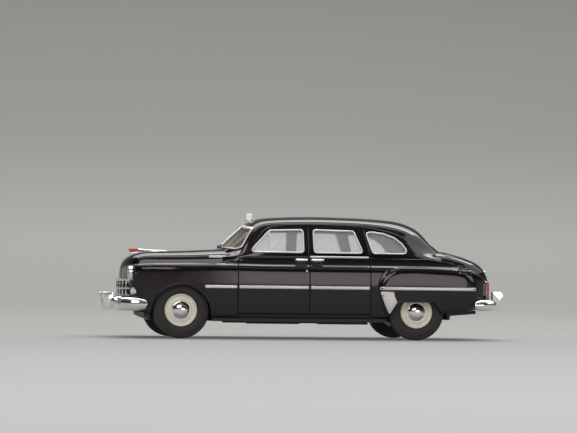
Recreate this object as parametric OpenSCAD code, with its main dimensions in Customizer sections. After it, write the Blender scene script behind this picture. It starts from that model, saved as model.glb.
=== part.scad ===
// Die-cast scale model of a long six-window 1950s saloon in taxi trim, at 1:43.
// X runs from the front bumper to the rear one, Y across with the driver's side at -Y, Z up from the ground.

/* [Wheels] */
// Distance between the two axles
wheelbase = 74.4; // [70:0.1:80]
// Distance between the middles of the front tyres
front_track = 34; // [32:0.1:35]
// Distance between the middles of the rear tyres
rear_track = 34.4; // [32:0.1:35]
// Outer diameter of a tyre
tyre_d = 17.6; // [16.6:0.1:18.2]
// Width of a tyre
tyre_w = 4.1; // [3.4:0.1:4.4]
// Outer diameter of a wheel disc
rim_d = 10.2; // [9:0.1:11]
// Diameter of a hub cap
hubcap_d = 5.8; // [5:0.1:7]
// Diameter of an axle rod
axle_d = 1.5; // [1.2:0.1:2]
// Running clearance round an axle rod
axle_play = 0.06; // [0.03:0.01:0.1]

/* [Body] */
// From the front axle to the front of the bumper guards
front_overhang = 23.8; // [23:0.1:26]
// From the rear axle to the back of the bumper guards
rear_overhang = 30.4; // [29:0.1:33]
// How far the doors stand outside the tyres
tyre_cover = 1.95; // [1.4:0.05:2.6]
// How far a rear wing stands out from the doors
wing_bulge = 0.9; // [0.6:0.1:1.3]
// Height of the sills above the ground
sill_z = 6.4; // [5.8:0.1:7]
// Height of the shoulder line
shoulder_z = 22.6; // [22:0.1:23.2]
// Height of the belt line under the windows
belt_z = 25.5; // [25:0.1:26]
// Height of the roof above the belt line
cabin_h = 13.35; // [12.5:0.05:14.5]
// Thickness of the cast shell
wall = 1.2; // [1:0.05:1.4]
// Width of the door gaps
gap_w = 0.28; // [0.2:0.02:0.4]

/* [Windows] */
// Width of a chrome window frame
frame_w = 0.5; // [0.35:0.05:0.7]
// How far a window frame stands out of the shell
frame_out = 0.12; // [0.05:0.01:0.2]
// Thickness of the glazing
glass_t = 0.6; // [0.4:0.05:0.7]

/* [Trim] */
// Height of the front bumper blade
front_blade_h = 4.1; // [3.4:0.1:4.4]
// Height of the rear bumper blade
rear_blade_h = 3.5; // [3:0.1:4]
// Thickness of a bumper blade
blade_t = 1.3; // [1:0.1:1.6]
// Distance of each bumper guard from the middle
guard_y = 8.6; // [7:0.1:10]
// Width of a bumper guard
guard_w = 2; // [1.6:0.1:2.6]
// Diameter of a headlamp rim
headlamp_d = 5; // [4.6:0.1:5.4]
// Number of upright teeth in the grille
grille_teeth = 9; // [7:1:13]
// Height of the side moulding
moulding_h = 1; // [0.6:0.1:1.2]
// How far the side moulding stands out
moulding_t = 0.35; // [0.2:0.05:0.5]
// Diameter of the roof lamp
beacon_d = 1.8; // [1.4:0.1:2.4]
// Height of the roof lamp above its base
beacon_h = 1.9; // [1.4:0.1:2.6]

/* [Chassis] */
// Thickness of the base plate
plate_t = 1; // [0.8:0.1:1.2]
// Radius of the screw holes for a display plinth
plinth_hole_r = 1.05; // [0.8:0.05:1.3]
// Distance between the plinth screws
plinth_pitch = 59; // [57:0.5:60]
// Depth of the plinth screw holes
plinth_depth = 5; // [4:0.5:6]

/* [Hidden] */
$fn = 48;
// Clearance between a fitted piece and its pocket
fit = 0.03;
overlap = 0.01;
// Wheelbase and cabin height at which the section tables were drawn
drawn_base = 74.4;
drawn_cabin = 13.35;

front_x = -(front_overhang + wheelbase + rear_overhang) / 2;
front_axle_x = front_x + front_overhang;
rear_axle_x = front_axle_x + wheelbase;
rear_x = -front_x;
axle_z = tyre_d / 2;
door_width = max(front_track, rear_track) + tyre_w + 2 * tyre_cover;
door_y = door_width / 2;
wing_y = door_y + wing_bulge;
inner_y = door_y - wall;
glass_in = 0.3;
plate_z = sill_z - 0.9;

// Stations are measured backwards from the front axle, and stretch between the axles with the wheelbase
function along(s) = front_axle_x + (s <= 0 ? s : s >= drawn_base ? wheelbase + s - drawn_base
                                                                 : s * wheelbase / drawn_base);

// Lower body: station, side inset, bottom, shoulder and deck heights above the named levels
lower_rows = [
    // s,   in,  bottom, shoulder, deck
    [-17.2, 9.5,   5.2,  -0.9,  -3.6],
    [-16.6, 5.3,   4.6,  -0.6,  -3.1],
    [-15.6, 3.3,   4.0,  -0.4,  -2.8],
    [-14,   1.9,   3.0,  -0.2,  -2.6],
    [-11,   0.8,   1.2,  -0.1,  -2.4],
    [ -7,   0.2,   0.2,   0,    -2.3],
    [  0,   0,     0,     0,    -2.2],
    [ 10,   0,     0,     0.1,  -2.0],
    [ 15,   0,     0,     0.1,  -1.1],
    [ 19,   0,     0,     0.1,  -0.1],
    [ 26,   0,     0,     0,     0],
    [ 62,   0,     0.3,   0,     0],
    [ 76,   0.05,  1.4,   0,     0],
    [ 84,   0.2,   1.9,  -0.2,  -0.9],
    [ 90,   0.6,   2.6,  -0.7,  -2.4],
    [ 94,   1.7,   3.3,  -1.7,  -4.0],
    [ 97,   4.0,   4.0,  -3.2,  -5.8],
    [ 98.6, 7.0,   4.6,  -4.6,  -7.6],
    [ 99.6, 11,    5.2,  -6.2,  -9.0],
];
// Bonnet: station, half width, top height above the belt line
bonnet_rows = [
    // s,   half, top
    [-17.6, 3.4,  -5.8],
    [-17.4, 5.4,  -3.7],
    [-16.8, 7.4,  -1.9],
    [-15.8, 8.9,  -0.7],
    [-13.9, 10.2,  0.65],
    [-10,  11.4,   1.55],
    [ -5,  12.3,   1.75],
    [  3,  13.4,   2.05],
    [ 11,  14.5,   2.5],
    [ 17,  15.6,   2.8],
];
// Cabin: station, insets of its foot and of the roof edge from the doors, heights of roof edge and roof
cabin_rows = [
    // s,  foot, edge, edge_up, top_up
    [13.2,  6.2,  9.0,  0.2,  2.5],
    [16.5,  3.6,  6.6,  1.6,  5.6],
    [20.3,  2.5,  6.0,  5.0,  9.1],
    [22.3,  2.3,  6.1,  7.1, 10.8],
    [24.4,  2.25, 6.1,  9.0, 12.1],
    [28,    2.2,  5.9, 10.1, 12.7],
    [35,    2.15, 5.7, 10.45, 13.15],
    [44,    2.15, 5.6, 10.5, 13.35],
    [56,    2.3,  5.7, 10.3, 13.15],
    [64,    2.7,  6.1,  9.4, 12.8],
    [69,    3.2,  6.6,  7.9, 12.4],
    [73,    3.9,  7.1,  5.9, 11.5],
    [77,    5.2,  8.0,  3.6,  9.7],
    [80,    6.6,  9.2,  2.2,  6.9],
    [83.2,  8.3, 11.2,  1.1,  3.85],
    [86,   10.5, 14.0,  0.3,  2.2],
];
// Boot: station, half width, top height above the belt line
boot_rows = [
    // s,    half, top
    [ 78,   12.2,  3.0],
    [ 85,   13.2,  2.75],
    [ 89,   13.0,  1.9],
    [ 93,   12.2,  0.75],
    [ 96.5, 10.9, -0.65],
    [ 98.8,  9.4, -2.4],
    [100.2,  8.0, -4.6],
    [101,    6.6, -7.0],
    [101.4,  5.0, -9.6],
];

// A smooth value of one column at station s, without overshoot between the rows
function rise(rows, i, c) = (rows[i + 1][c] - rows[i][c]) / (rows[i + 1][0] - rows[i][0]);
function tangent(rows, i, c) =
    i == 0 ? rise(rows, 0, c)
    : i == len(rows) - 1 ? rise(rows, i - 1, c)
    : let (a = rise(rows, i - 1, c), b = rise(rows, i, c)) a * b <= 0 ? 0 : 2 * a * b / (a + b);
function segment(rows, s, i = 0) = (i >= len(rows) - 2 || s <= rows[i + 1][0]) ? i : segment(rows, s, i + 1);
function column(rows, s, c) =
    let (i = segment(rows, s), h = rows[i + 1][0] - rows[i][0], t = (s - rows[i][0]) / h)
    rows[i][c] * (1 + 2 * t) * (1 - t) * (1 - t) + rows[i + 1][c] * t * t * (3 - 2 * t)
    + h * t * (1 - t) * (tangent(rows, i, c) * (1 - t) - tangent(rows, i + 1, c) * t);

// The rows' own stations and for a skin those midway between them, trimmed at both ends
function stations(rows, trim, n) =
    let (first = rows[0][0] + trim, last = rows[len(rows) - 1][0] - trim,
         all = [for (i = [0:len(rows) - 2]) for (k = [0:n - 1]) rows[i][0] + k * (rows[i + 1][0] - rows[i][0]) / n])
    concat([first], [for (s = all) if (s > first + 0.15 && s < last - 0.15) s], [last]);

// Rounds a control line by drawing each corner as a parabola between the middles of its legs
function corner(a, b, c, t) = a * (1 - t) * (1 - t) + b * 2 * t * (1 - t) + c * t * t;
function rounded(line, n) =
    let (last = len(line) - 2)
    [line[0],
     for (i = [1:last]) for (k = [(i == 1 ? 1 : 0):n - 1])
         corner(i == 1 ? line[0] : (line[i - 1] + line[i]) / 2, line[i],
                i == last ? line[last + 1] : (line[i] + line[i + 1]) / 2, k / n),
     line[last + 1]];

// A closed ring from a half section that starts and ends on the middle plane
function ring(x, half) =
    concat([for (p = half) [x, p[0], p[1]]],
           [for (i = [len(half) - 2:-1:1]) [x, -half[i][0], half[i][1]]]);

module loft(rings) {
    n = len(rings[0]);
    last = len(rings) - 1;
    sides = [for (i = [0:last - 1]) for (j = [0:n - 1])
        [i * n + j, (i + 1) * n + j, (i + 1) * n + (j + 1) % n, i * n + (j + 1) % n]];
    triangles = [for (q = sides) each [[q[0], q[1], q[2]], [q[0], q[2], q[3]]]];
    ends = [[for (j = [0:n - 1]) j], [for (j = [n - 1:-1:0]) last * n + j]];
    polyhedron(points = [for (r = rings) each r], faces = concat(triangles, ends));
}

// Skins of the body, each drawn inwards by the inset for the hollow inside
function lower_half(s, inset, n) =
    let (w = door_y - column(lower_rows, s, 1) - inset,
         bottom = sill_z + column(lower_rows, s, 2) - (inset > 0 ? 8 : 0),
         shoulder = shoulder_z + column(lower_rows, s, 3) - inset * 0.6,
         deck = belt_z + column(lower_rows, s, 4) - inset, flat = min(4, 0.3 * (shoulder - bottom)))
    rounded([[0, bottom], [w - 1, bottom], [w - 0.3, bottom + 0.4], [w, bottom + flat],
             [w, shoulder - flat], [w, shoulder - 0.7], [w - 0.75, shoulder + 0.25],
             [w - 1.5, shoulder + 0.6 * (deck - shoulder)], [w - 2.3, deck], [w / 2, deck + 0.2], [0, deck + 0.2]], n);
module lower_body(inset = 0, n = 2) {
    loft([for (s = stations(lower_rows, inset, n)) ring(along(s), lower_half(s, inset, n))]);
}

function bonnet_half(s, inset, n) =
    let (w = column(bonnet_rows, s, 1) - inset, top = belt_z + column(bonnet_rows, s, 2) - inset,
         foot = min(shoulder_z - 4.5, top - 1))
    rounded([[0, foot], [w, foot], [w, foot + 0.5 * (top - foot)], [0.93 * w, foot + 0.82 * (top - foot)],
             [0.7 * w, top - 0.25], [0.3 * w, top], [0, top]], n);
module bonnet(inset = 0, n = 2) {
    loft([for (s = stations(bonnet_rows, inset, n)) ring(along(s), bonnet_half(s, inset, n))]);
}

function cabin_half(s, inset, n) =
    let (up = cabin_h / drawn_cabin, foot = door_y - column(cabin_rows, s, 1) - inset,
         edge = door_y - column(cabin_rows, s, 2) - inset,
         edge_z = belt_z + up * column(cabin_rows, s, 3) - 0.6 * inset,
         top = belt_z + up * column(cabin_rows, s, 4) - inset)
    rounded([[0, belt_z - 3], [foot, belt_z - 3], [foot, belt_z + 0.15], [(foot + edge) / 2 + 0.2, (belt_z + edge_z) / 2],
             [edge, edge_z], [0.9 * edge, edge_z + 0.55 * (top - edge_z)], [0.6 * edge, edge_z + 0.93 * (top - edge_z)],
             [0.25 * edge, top], [0, top]], n);
module cabin(inset = 0, n = 2) {
    loft([for (s = stations(cabin_rows, max(inset, 0), n)) ring(along(s), cabin_half(s, inset, n))]);
}

function boot_half(s, inset, n) =
    let (w = column(boot_rows, s, 1) - inset, top = belt_z + column(boot_rows, s, 2) - inset, foot = sill_z + 4.6)
    rounded([[0, foot], [w, foot], [w + 0.4, foot + 0.5 * (top - foot)], [0.95 * w, foot + 0.85 * (top - foot)],
             [0.72 * w, top - 0.3], [0.3 * w, top], [0, top]], n);
module boot(inset = 0, n = 2) {
    loft([for (s = stations(boot_rows, inset, n)) ring(along(s), boot_half(s, inset, n))]);
}

// Rear wing, a raised pad with a rounded edge, from its side outline
wing_outline = [
    // s,   z,   in
    [65,    8,   0], [63.8, 11.5, 0], [62.7, 15.4, 0], [63.5, 18.6, 0], [65.7, 21, 0], [68.6, 22.1, 0],
    [74.8, 22.2, 0], [86, 21.5, 0], [90, 20.4, 0.1], [92.4, 17.8, 0.9], [94, 13.4, 1.5], [92.4, 10.6, 0.9],
    [90, 9.8, 0.1], [84, 8.9, 0],
];
module wings() {
    for (side = [-1, 1]) hull() for (p = wing_outline)
        translate([along(p[0]), side * (door_y - p[2]), p[1]]) sphere(r = wing_bulge, $fn = 8);
}

// Windows, each as corners of a side or front view outline with a corner radius
sill_up = 1.45;
side_windows = [
    // front door, rear door, quarter light: stations and heights above the belt line
    [[20.9, sill_up], [27.7, 8.65], [38.5, 9], [38.6, sill_up]],
    [[41.5, sill_up], [41.4, 9], [54.6, 8.75], [57.6, sill_up]],
    [[60.3, sill_up], [58.2, 8.1], [60, 8.6], [64.2, 8.1], [67.8, 6.8], [70.3, 4.9], [71.8, 2.8], [71.2, sill_up]],
];
corner_r = 1;
// Windscreen half and rear window in the front view: half width, height above the belt line
screen_half = [[0.35, 3.6], [10.7, 2.8], [15, 2.4], [15.9, 3], [13.9, 9.4], [0.35, 10.5]];
rear_window = [[-10.2, 4.3], [10.2, 4.3], [7.4, 8.9], [-7.4, 8.9]];
screen_reach = [11, 24.8];
rear_reach = [75, 92];

module outline(points, grow) {
    hull() for (p = points) translate(p) circle(r = corner_r + grow, $fn = 12);
}
function inwards(points, r) = [for (i = [0:len(points) - 1]) inset_corner(points, i, r)];
// Moves a corner along the middle of its angle so that both legs move in by r
function inset_corner(points, i, r) =
    let (n = len(points), p = points[i], a = unit(points[(i + n - 1) % n] - p), b = unit(points[(i + 1) % n] - p),
         half = acos(a * b) / 2)
    p + unit(a + b) * r / sin(half);
function unit(v) = v / norm(v);
function up_from_belt(points) = [for (p = points) [along(p[0]), belt_z + p[1] * cabin_h / drawn_cabin]];
function front_view(points) = [for (p = points) [p[0], belt_z + p[1] * cabin_h / drawn_cabin]];

module side_opening(points, grow) {
    for (side = [-1, 1]) translate([0, side * (door_y - 6), 0]) rotate([90, 0, 0])
        linear_extrude(12, center = true) outline(inwards(up_from_belt(points), corner_r), grow);
}
module front_opening(points, reach, grow) {
    translate([along(reach[0]), 0, 0]) rotate([90, 0, 90])
        linear_extrude(along(reach[1]) - along(reach[0])) outline(inwards(front_view(points), corner_r), grow);
}
function mirrored(points) = [for (i = [len(points) - 1:-1:0]) [-points[i][0], points[i][1]]];
module side_openings(grow = 0) { for (w = side_windows) side_opening(w, grow); }
module screen_openings(grow = 0) {
    front_opening(screen_half, screen_reach, grow);
    front_opening(mirrored(screen_half), screen_reach, grow);
}
module rear_opening(grow = 0) { front_opening(rear_window, rear_reach, grow); }

// Upright bar that parts the vent pane from the front door window
vent_s = 27.6;
vent_w = 0.4;
module vent_bars(grow = 0) {
    for (side = [-1, 1]) translate([along(vent_s), side * (door_y - 6), belt_z + cabin_h / 2])
        cube([vent_w + 2 * grow, 12, cabin_h], center = true);
}

// Layers of the cabin wall that hold the frames and the glass
module frame_layer() { difference() { cabin(-frame_out); cabin(glass_in + glass_t); } }
module glass_layer() { difference() { cabin(glass_in); cabin(glass_in + glass_t); } }

// Wheel openings in the side view
front_arch_r = tyre_d / 2 + 0.55;
front_arch_drop = 1.35;
rear_arch = [[62.7, 4], [65.1, 7.6], [67.5, 11.2], [68.6, 12], [79.6, 12], [81.4, 9.8], [82.7, 7.6], [84.2, 4]];
module wheel_openings() {
    depth = door_width + 2 * wing_bulge + 2;
    translate([front_axle_x - 0.2, 0, axle_z - front_arch_drop]) rotate([90, 0, 0])
        cylinder(r = front_arch_r, h = depth, center = true, $fn = 44);
    rotate([90, 0, 0]) linear_extrude(depth, center = true)
        polygon([for (p = rear_arch) [along(p[0]) + (rear_axle_x - along(drawn_base)), p[1]]]);
}

// Raised lip round the front wheel openings
lip_w = 0.9;
lip_out = 0.25;
module arch_lips() {
    intersection() {
        for (side = [-1, 1]) translate([front_axle_x - 0.2, side * (door_y - 0.5 + lip_out / 2), axle_z - front_arch_drop])
            rotate([90, 0, 0]) cylinder(r = front_arch_r + lip_w, h = 1 + lip_out, center = true, $fn = 44);
        translate([front_axle_x - 20, -door_width, sill_z + 0.9]) cube([40, 2 * door_width, 20]);
    }
}

// Grooves round the doors
door_edges = [17.5, 40, 59.3];
door_bottom_z = sill_z + 1.6;
groove_depth = 0.25;
module door_gaps() {
    for (side = [-1, 1]) translate([0, side * (door_y - groove_depth / 2), 0]) {
        for (s = door_edges) translate([along(s), 0, (door_bottom_z + shoulder_z - 0.6) / 2])
            cube([gap_w, groove_depth * 2, shoulder_z - 0.6 - door_bottom_z], center = true);
        translate([(along(door_edges[0]) + along(door_edges[2])) / 2, 0, door_bottom_z])
            cube([along(door_edges[2]) - along(door_edges[0]) + gap_w, groove_depth * 2, gap_w], center = true);
    }
}

// Hollows under the bonnet and the boot: stations, heights against the belt line
bonnet_hollow = [[-14.6, -6], [-14.1, -1.6], [-11.8, -0.2], [4, 0.45], [15.4, 0.9], [15.4, -6]];
boot_hollow = [[80, -6], [80, 1.2], [88.6, 0.3], [94.4, -1.9], [97.6, -4.4], [98.9, -9.5]];
module end_hollow(points, half) {
    rotate([90, 0, 0]) linear_extrude(2 * half, center = true)
        polygon([for (p = points) [along(p[0]), belt_z + p[1]]]);
}

module body_shell() {
    color("#141416") difference() {
        union() { lower_body(); bonnet(); cabin(); boot(); wings(); arch_lips(); lamp_pods(); }
        lower_body(wall, 1);
        cabin(wall, 1);
        end_hollow(bonnet_hollow, 8.2);
        end_hollow(boot_hollow, 7.6);
        side_openings();
        screen_openings();
        rear_opening();
        wheel_openings();
        door_gaps();
        headlamp_pockets();
        parking_lamps(fit);
        tail_lamps(fit);
        roof_lamp_base(fit);
        bonnet_spear(fit);
        bonnet_badges(fit);
        door_handles(fit);
        boot_handle(fit);
        grille_recess();
    }
}

// Glazing and its chrome frames
module windscreen() { color("#aab4b8", 0.4) intersection() { glass_layer(); screen_openings(-frame_w - fit); } }
module side_glass() {
    color("#aab4b8", 0.4) difference() {
        intersection() { glass_layer(); side_openings(-frame_w - fit); }
        vent_bars(fit);
    }
}
module rear_glass() { color("#aab4b8", 0.4) intersection() { glass_layer(); rear_opening(-frame_w - fit); } }
module side_frames() {
    color("silver") intersection() {
        frame_layer();
        union() {
            difference() { side_openings(-fit); side_openings(-frame_w); }
            intersection() { side_opening(side_windows[0], -frame_w / 2); vent_bars(); }
        }
    }
}
module screen_frame() {
    color("silver") intersection() {
        frame_layer();
        difference() { screen_openings(-fit); screen_openings(-frame_w); }
    }
}
module rear_frame() {
    color("silver") intersection() {
        frame_layer();
        difference() { rear_opening(-fit); rear_opening(-frame_w); }
    }
}

// Lamps: rims and lenses are turned about an axis along the car
headlamp_pod = [-15.2, -10.5];
headlamp_s = headlamp_pod[0] - 0.8;
headlamp_y = door_y - 4.9;
headlamp_z = 19.9;
rim_depth = 2.6;
lens_d = headlamp_d - 1.2;
module at_headlamps() {
    for (side = [-1, 1]) translate([along(headlamp_s), side * headlamp_y, headlamp_z]) rotate([0, 90, 0]) children();
}
module headlamp_rims() {
    color("silver") at_headlamps() difference() {
        union() {
            cylinder(d = headlamp_d, h = rim_depth);
            translate([0, 0, -0.5]) cylinder(d1 = headlamp_d - 0.7, d2 = headlamp_d, h = 0.5);
        }
        translate([0, 0, -1]) cylinder(d = lens_d + 2 * fit, h = 2.2);
    }
}
// Round pockets in the wings, open to the front, in which the rims sit
pocket_gap = 0.08;
module headlamp_pockets() {
    at_headlamps() translate([0, 0, -2])
        cylinder(d = headlamp_d + 2 * pocket_gap, h = rim_depth + pocket_gap + 2, $fn = 20);
}
module headlamp_lenses() {
    color("#e8eef0", 0.6) at_headlamps() intersection() {
        translate([0, 0, -0.6]) cylinder(d = lens_d, h = 1.7);
        translate([0, 0, 3.2]) sphere(r = 4.1);
    }
}
parking_s = -14.6;
parking_y = door_y - 3.3;
parking_z = 14.2;
parking_turn = 48;
module parking_lamps(grow = 0) {
    color("silver") for (side = [-1, 1]) translate([along(parking_s), side * parking_y, parking_z])
        rotate([0, 0, -side * parking_turn]) rotate([0, 90, 0])
            cube([3.4 + 2 * grow, 2.6 + 2 * grow, 2 + 2 * grow], center = true);
}
tail_pod = [90.5, 97.2];
tail_s = tail_pod[1] - 1.1;
tail_y = door_y - 4.4;
tail_z = 16.1;
tail_depth = 2.3;
module tail_lamps(grow = 0) {
    color("darkred") for (side = [-1, 1]) translate([along(tail_s), side * tail_y, tail_z]) rotate([0, 90, 0])
        linear_extrude(tail_depth) tail_outline(grow);
}
module tail_outline(grow) {
    hull() {
        translate([-2, 0]) circle(r = 0.75 + grow, $fn = 16);
        translate([1.8, 0]) circle(r = 1.05 + grow, $fn = 16);
    }
}
// Fairings of the wings behind the headlamps and in front of the tail lamps
pod_rim = 0.3;
module lamp_pods() {
    for (side = [-1, 1]) {
        translate([along(headlamp_pod[0]), side * headlamp_y, headlamp_z]) rotate([0, 90, 0])
            cylinder(d = headlamp_d + 2 * pod_rim, h = headlamp_pod[1] - headlamp_pod[0], $fn = 40);
        translate([along(tail_pod[0]), side * tail_y, tail_z]) rotate([0, 90, 0])
            linear_extrude(tail_pod[1] - tail_pod[0]) tail_outline(pod_rim);
    }
}

// Grille: curved bars and upright teeth on one plan arc
grille_r = 33.5;
grille_s = -19;
grille_bars = [
    // height, bar height, half angle
    [18, 1.2, 22], [15.4, 0.65, 26], [13.2, 0.6, 26],
];
grille_depth = 1.1;
tooth_w = 1.1;
module on_grille_arc(angle) {
    translate([along(grille_s) + grille_r, 0, 0]) rotate([0, 0, 180 + angle]) children();
}
module grille_recess() {
    on_grille_arc(-grille_bars[2][2] - 0.5) rotate_extrude(angle = 2 * grille_bars[2][2] + 1)
        translate([grille_r - grille_depth - 0.4, grille_bars[2][0] - 1])
            square([4, grille_bars[0][0] + grille_bars[0][1] / 2 - grille_bars[2][0] + 1 + 2 * fit]);
}
module grille() {
    color("silver") {
        for (b = grille_bars) on_grille_arc(-b[2]) rotate_extrude(angle = 2 * b[2])
            translate([grille_r - grille_depth, b[0] - b[1] / 2]) square([grille_depth, b[1]]);
        step = 2 * grille_bars[0][2] / (grille_teeth + 1);
        for (i = [1:grille_teeth]) on_grille_arc(i * step - grille_bars[0][2])
            translate([grille_r - grille_depth, -tooth_w / 2, grille_bars[2][0]])
                cube([grille_depth - 0.25, tooth_w, grille_bars[0][0] - grille_bars[2][0]]);
        for (side = [-1, 1]) on_grille_arc(side * (grille_bars[1][2] - 0.6))
            translate([grille_r - grille_depth, -0.5, grille_bars[2][0]])
                cube([grille_depth, 1, grille_bars[1][0] - grille_bars[2][0]]);
    }
}

// Bumpers: a blade swept round the end of the car on three tangent arcs, with irons to the base plate
bow_r = 70;
turn_r = 6.5;
blade_y = wing_y + 0.35;
bow_angle = asin((blade_y - turn_r) / (bow_r - turn_r));
turn_x = bow_r - (bow_r - turn_r) * cos(bow_angle);
guard_reach = 1.8;
front_blade_z = 10.5;
rear_blade_z = 11.15;
front_blade_reach = 11.2;
rear_blade_reach = 10.5;
// Places along the plan of half a blade: x, y, direction of the outer face, share of the full height
function bow_place(a) = [bow_r - bow_r * cos(a), bow_r * sin(a), a, 1];
function turn_place(a) = [turn_x - turn_r * cos(a), blade_y - turn_r + turn_r * sin(a), a, 1 - 0.04 * a / 90];
function half_blade(reach) = concat(
    [for (k = [0:5]) bow_place(bow_angle * k / 5)],
    [for (k = [1:6]) turn_place(bow_angle + (90 - bow_angle) * k / 6)],
    [for (e = [[0.7, 0.88], [0.3, 0.79], [0.08, 0.56], [0, 0.3]])
        [reach - e[0] * (reach - turn_x), blade_y, 90, e[1]]]);
// Half section of the blade: how far inside the outer face, share of the half height
blade_line = [[0, 0], [0.06, 0.35], [0.28, 0.7], [0.62, 0.95], [0.85, 1], [1, 0.9]];
function blade_ring(place, h) =
    let (half = [for (q = blade_line) [q[0] * blade_t, q[1] * h * place[3] / 2]],
         line = concat(half, [for (i = [len(half) - 1:-1:1]) [half[i][0], -half[i][1]]]))
    [for (q = line) [place[0] + q[0] * cos(place[2]), place[1] - q[0] * sin(place[2]), q[1]]];
module blade(reach, h) {
    right = half_blade(reach);
    left = [for (i = [len(right) - 1:-1:1]) [right[i][0], -right[i][1], -right[i][2], right[i][3]]];
    loft([for (place = concat(left, right)) blade_ring(place, h)]);
}
// Irons run back under the body from the blade to a lug on the base plate
iron_y = 6;
iron_w = 1.6;
iron_h = 1.2;
module irons(from, to, z) {
    for (side = [-1, 1]) translate([min(from, to), side * iron_y - iron_w / 2, z])
        cube([abs(to - from), iron_w, iron_h]);
}
// Side line of the base plate: stations and heights above its floor, with a lug at each end
plate_line = [[-11.5, 1.5], [-8.5, 0], [79.5, 0], [84, 2.2], [94, 3]];
front_lug_s = plate_line[0][0];
rear_lug_s = plate_line[4][0];
front_iron_z = front_blade_z - 1.6;
rear_iron_z = rear_blade_z - 1.56;
module front_blade() { translate([front_x + guard_reach, 0, front_blade_z]) blade(front_blade_reach, front_blade_h); }
module rear_blade() {
    translate([rear_x - guard_reach, 0, rear_blade_z]) rotate([0, 0, 180]) blade(rear_blade_reach, rear_blade_h);
}
module front_bumper() {
    color("silver") {
        front_blade();
        irons(front_x + guard_reach + blade_t - 0.2, along(front_lug_s), front_iron_z);
    }
}
module rear_bumper() {
    color("silver") {
        rear_blade();
        irons(along(rear_lug_s), rear_x - guard_reach - blade_t + 0.2, rear_iron_z);
    }
}
// Guards: a horn that leans out over the blade, deep at the top and clamped on it
front_guard = [[1.25, -1.9], [0.1, 2.4], [0, 3], [0.25, 3.4], [0.7, 3.6], [3.5, 3.6], [3.5, 1.2], [2.2, -1.9]];
rear_guard = [[1, -1.6], [0, 3], [0.15, 3.7], [0.6, 4.2], [1.3, 4.4], [3.5, 4.4], [3.5, 1.2], [2.2, -1.6]];
module guards(points) {
    for (side = [-1, 1]) translate([0, side * guard_y + guard_w / 2, 0]) rotate([90, 0, 0])
        linear_extrude(guard_w) polygon(points);
}
module front_guards() {
    color("silver") difference() {
        translate([front_x, 0, front_blade_z]) guards(front_guard);
        front_blade();
    }
}
module rear_guards() {
    color("silver") difference() {
        translate([rear_x, 0, rear_blade_z]) rotate([0, 0, 180]) guards(rear_guard);
        rear_blade();
    }
}

// Side trim
moulding_z = 16.2;
moulding_runs = [
    // from, to, seat
    [7.1, 17.2, 0], [17.8, 39.7, 0], [40.3, 59, 0], [62.1, 90, 1],
];
// The last run bends in with the tail of the wing: how far on, how far in
moulding_tail = [2.9, 1];
module side_mouldings() {
    color("silver") for (run = moulding_runs, side = [-1, 1]) {
        seat = run[2] == 1 ? wing_y : door_y;
        bend = run[2] == 1 ? [[along(run[1]) + moulding_tail[0], -moulding_tail[1]]] : [];
        line = concat([[along(run[0]), 0], [along(run[1]), 0]], bend);
        back = [for (k = [len(line) - 1:-1:0]) line[k] + [0, moulding_t]];
        translate([0, 0, moulding_z - moulding_h / 2]) linear_extrude(moulding_h)
            polygon([for (p = concat(line, back)) [p[0], side * (seat + p[1])]]);
    }
}
stone_outline = [[62.2, 15.2], [66.5, 15.2], [66.8, 13.6], [67.6, 12], [65.1, 8], [63.5, 11.5]];
stone_t = 0.25;
module stone_guards() {
    color("silver") for (side = [-1, 1]) translate([0, side > 0 ? wing_y + stone_t : -wing_y, 0]) rotate([90, 0, 0])
        linear_extrude(stone_t) polygon([for (p = stone_outline) [along(p[0]), p[1]]]);
}
handle_runs = [[35.8, 39.3], [40.7, 44.4]];
handle_r = 0.45;
handle_in = 1.62;
module door_handles(grow = 0) {
    color("silver") for (run = handle_runs, side = [-1, 1])
        translate([along(run[0]) - grow, side * (door_y - handle_in), belt_z - 0.85]) rotate([0, 90, 0])
            cylinder(r = handle_r + grow, h = along(run[1]) - along(run[0]) + 2 * grow, $fn = 24);
}
module boot_handle(grow = 0) {
    color("silver") translate([along(99.2), -2.6 - grow, belt_z - 4.2 - grow])
        cube([1.6, 5.2 + 2 * grow, 1 + 2 * grow]);
}
spear_outline = [[-14.2, 0.1], [-14.4, 1.3], [-12, 1.5], [-12, 2.45], [-8, 2.15], [-3, 2.05], [-2.6, 1.6], [-3, 0.6]];
crest_outline = [[-14.4, 1.3 + fit], [-15, 2], [-14.8, 2.45], [-12 - fit, 2.5], [-12 - fit, 1.5 + fit]];
spear_w = 0.8;
module on_bonnet(points, grow) {
    translate([0, spear_w / 2 + grow, 0]) rotate([90, 0, 0]) linear_extrude(spear_w + 2 * grow)
        polygon([for (p = points) [along(p[0]), belt_z + p[1] - grow]]);
}
module bonnet_spear(grow = 0) { color("silver") on_bonnet(spear_outline, grow); }
module bonnet_crest(grow = 0) { color("#c03020") on_bonnet(crest_outline, grow); }
badge_s = 11.8;
badge_y = 13.9;
badge_l = 5.6;
badge_t = 0.7;
badge_turn = 8;
module bonnet_badges(grow = 0) {
    color("silver") for (side = [-1, 1]) translate([along(badge_s), side * badge_y, belt_z]) rotate([0, 0, side * badge_turn])
        cube([badge_l + 2 * grow, badge_t + 2 * grow, badge_t + 2 * grow], center = true);
}
lamp_s = 23.5;
lamp_z = belt_z + 12.2 * cabin_h / drawn_cabin;
module roof_lamp_base(grow = 0) {
    color("silver") translate([along(lamp_s), 0, lamp_z - 1.3 - grow])
        cylinder(d = beacon_d + 0.6 + 2 * grow, h = 1.3 + grow, $fn = 32);
}
module roof_lamp() {
    color("white") translate([along(lamp_s), 0, lamp_z]) {
        cylinder(d = beacon_d, h = beacon_h - beacon_d * 0.3);
        translate([0, 0, beacon_h - beacon_d * 0.3]) intersection() {
            scale(beacon_d / 2) sphere(r = 1);
            cylinder(d = beacon_d, h = beacon_d * 0.3);
        }
    }
}

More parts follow.
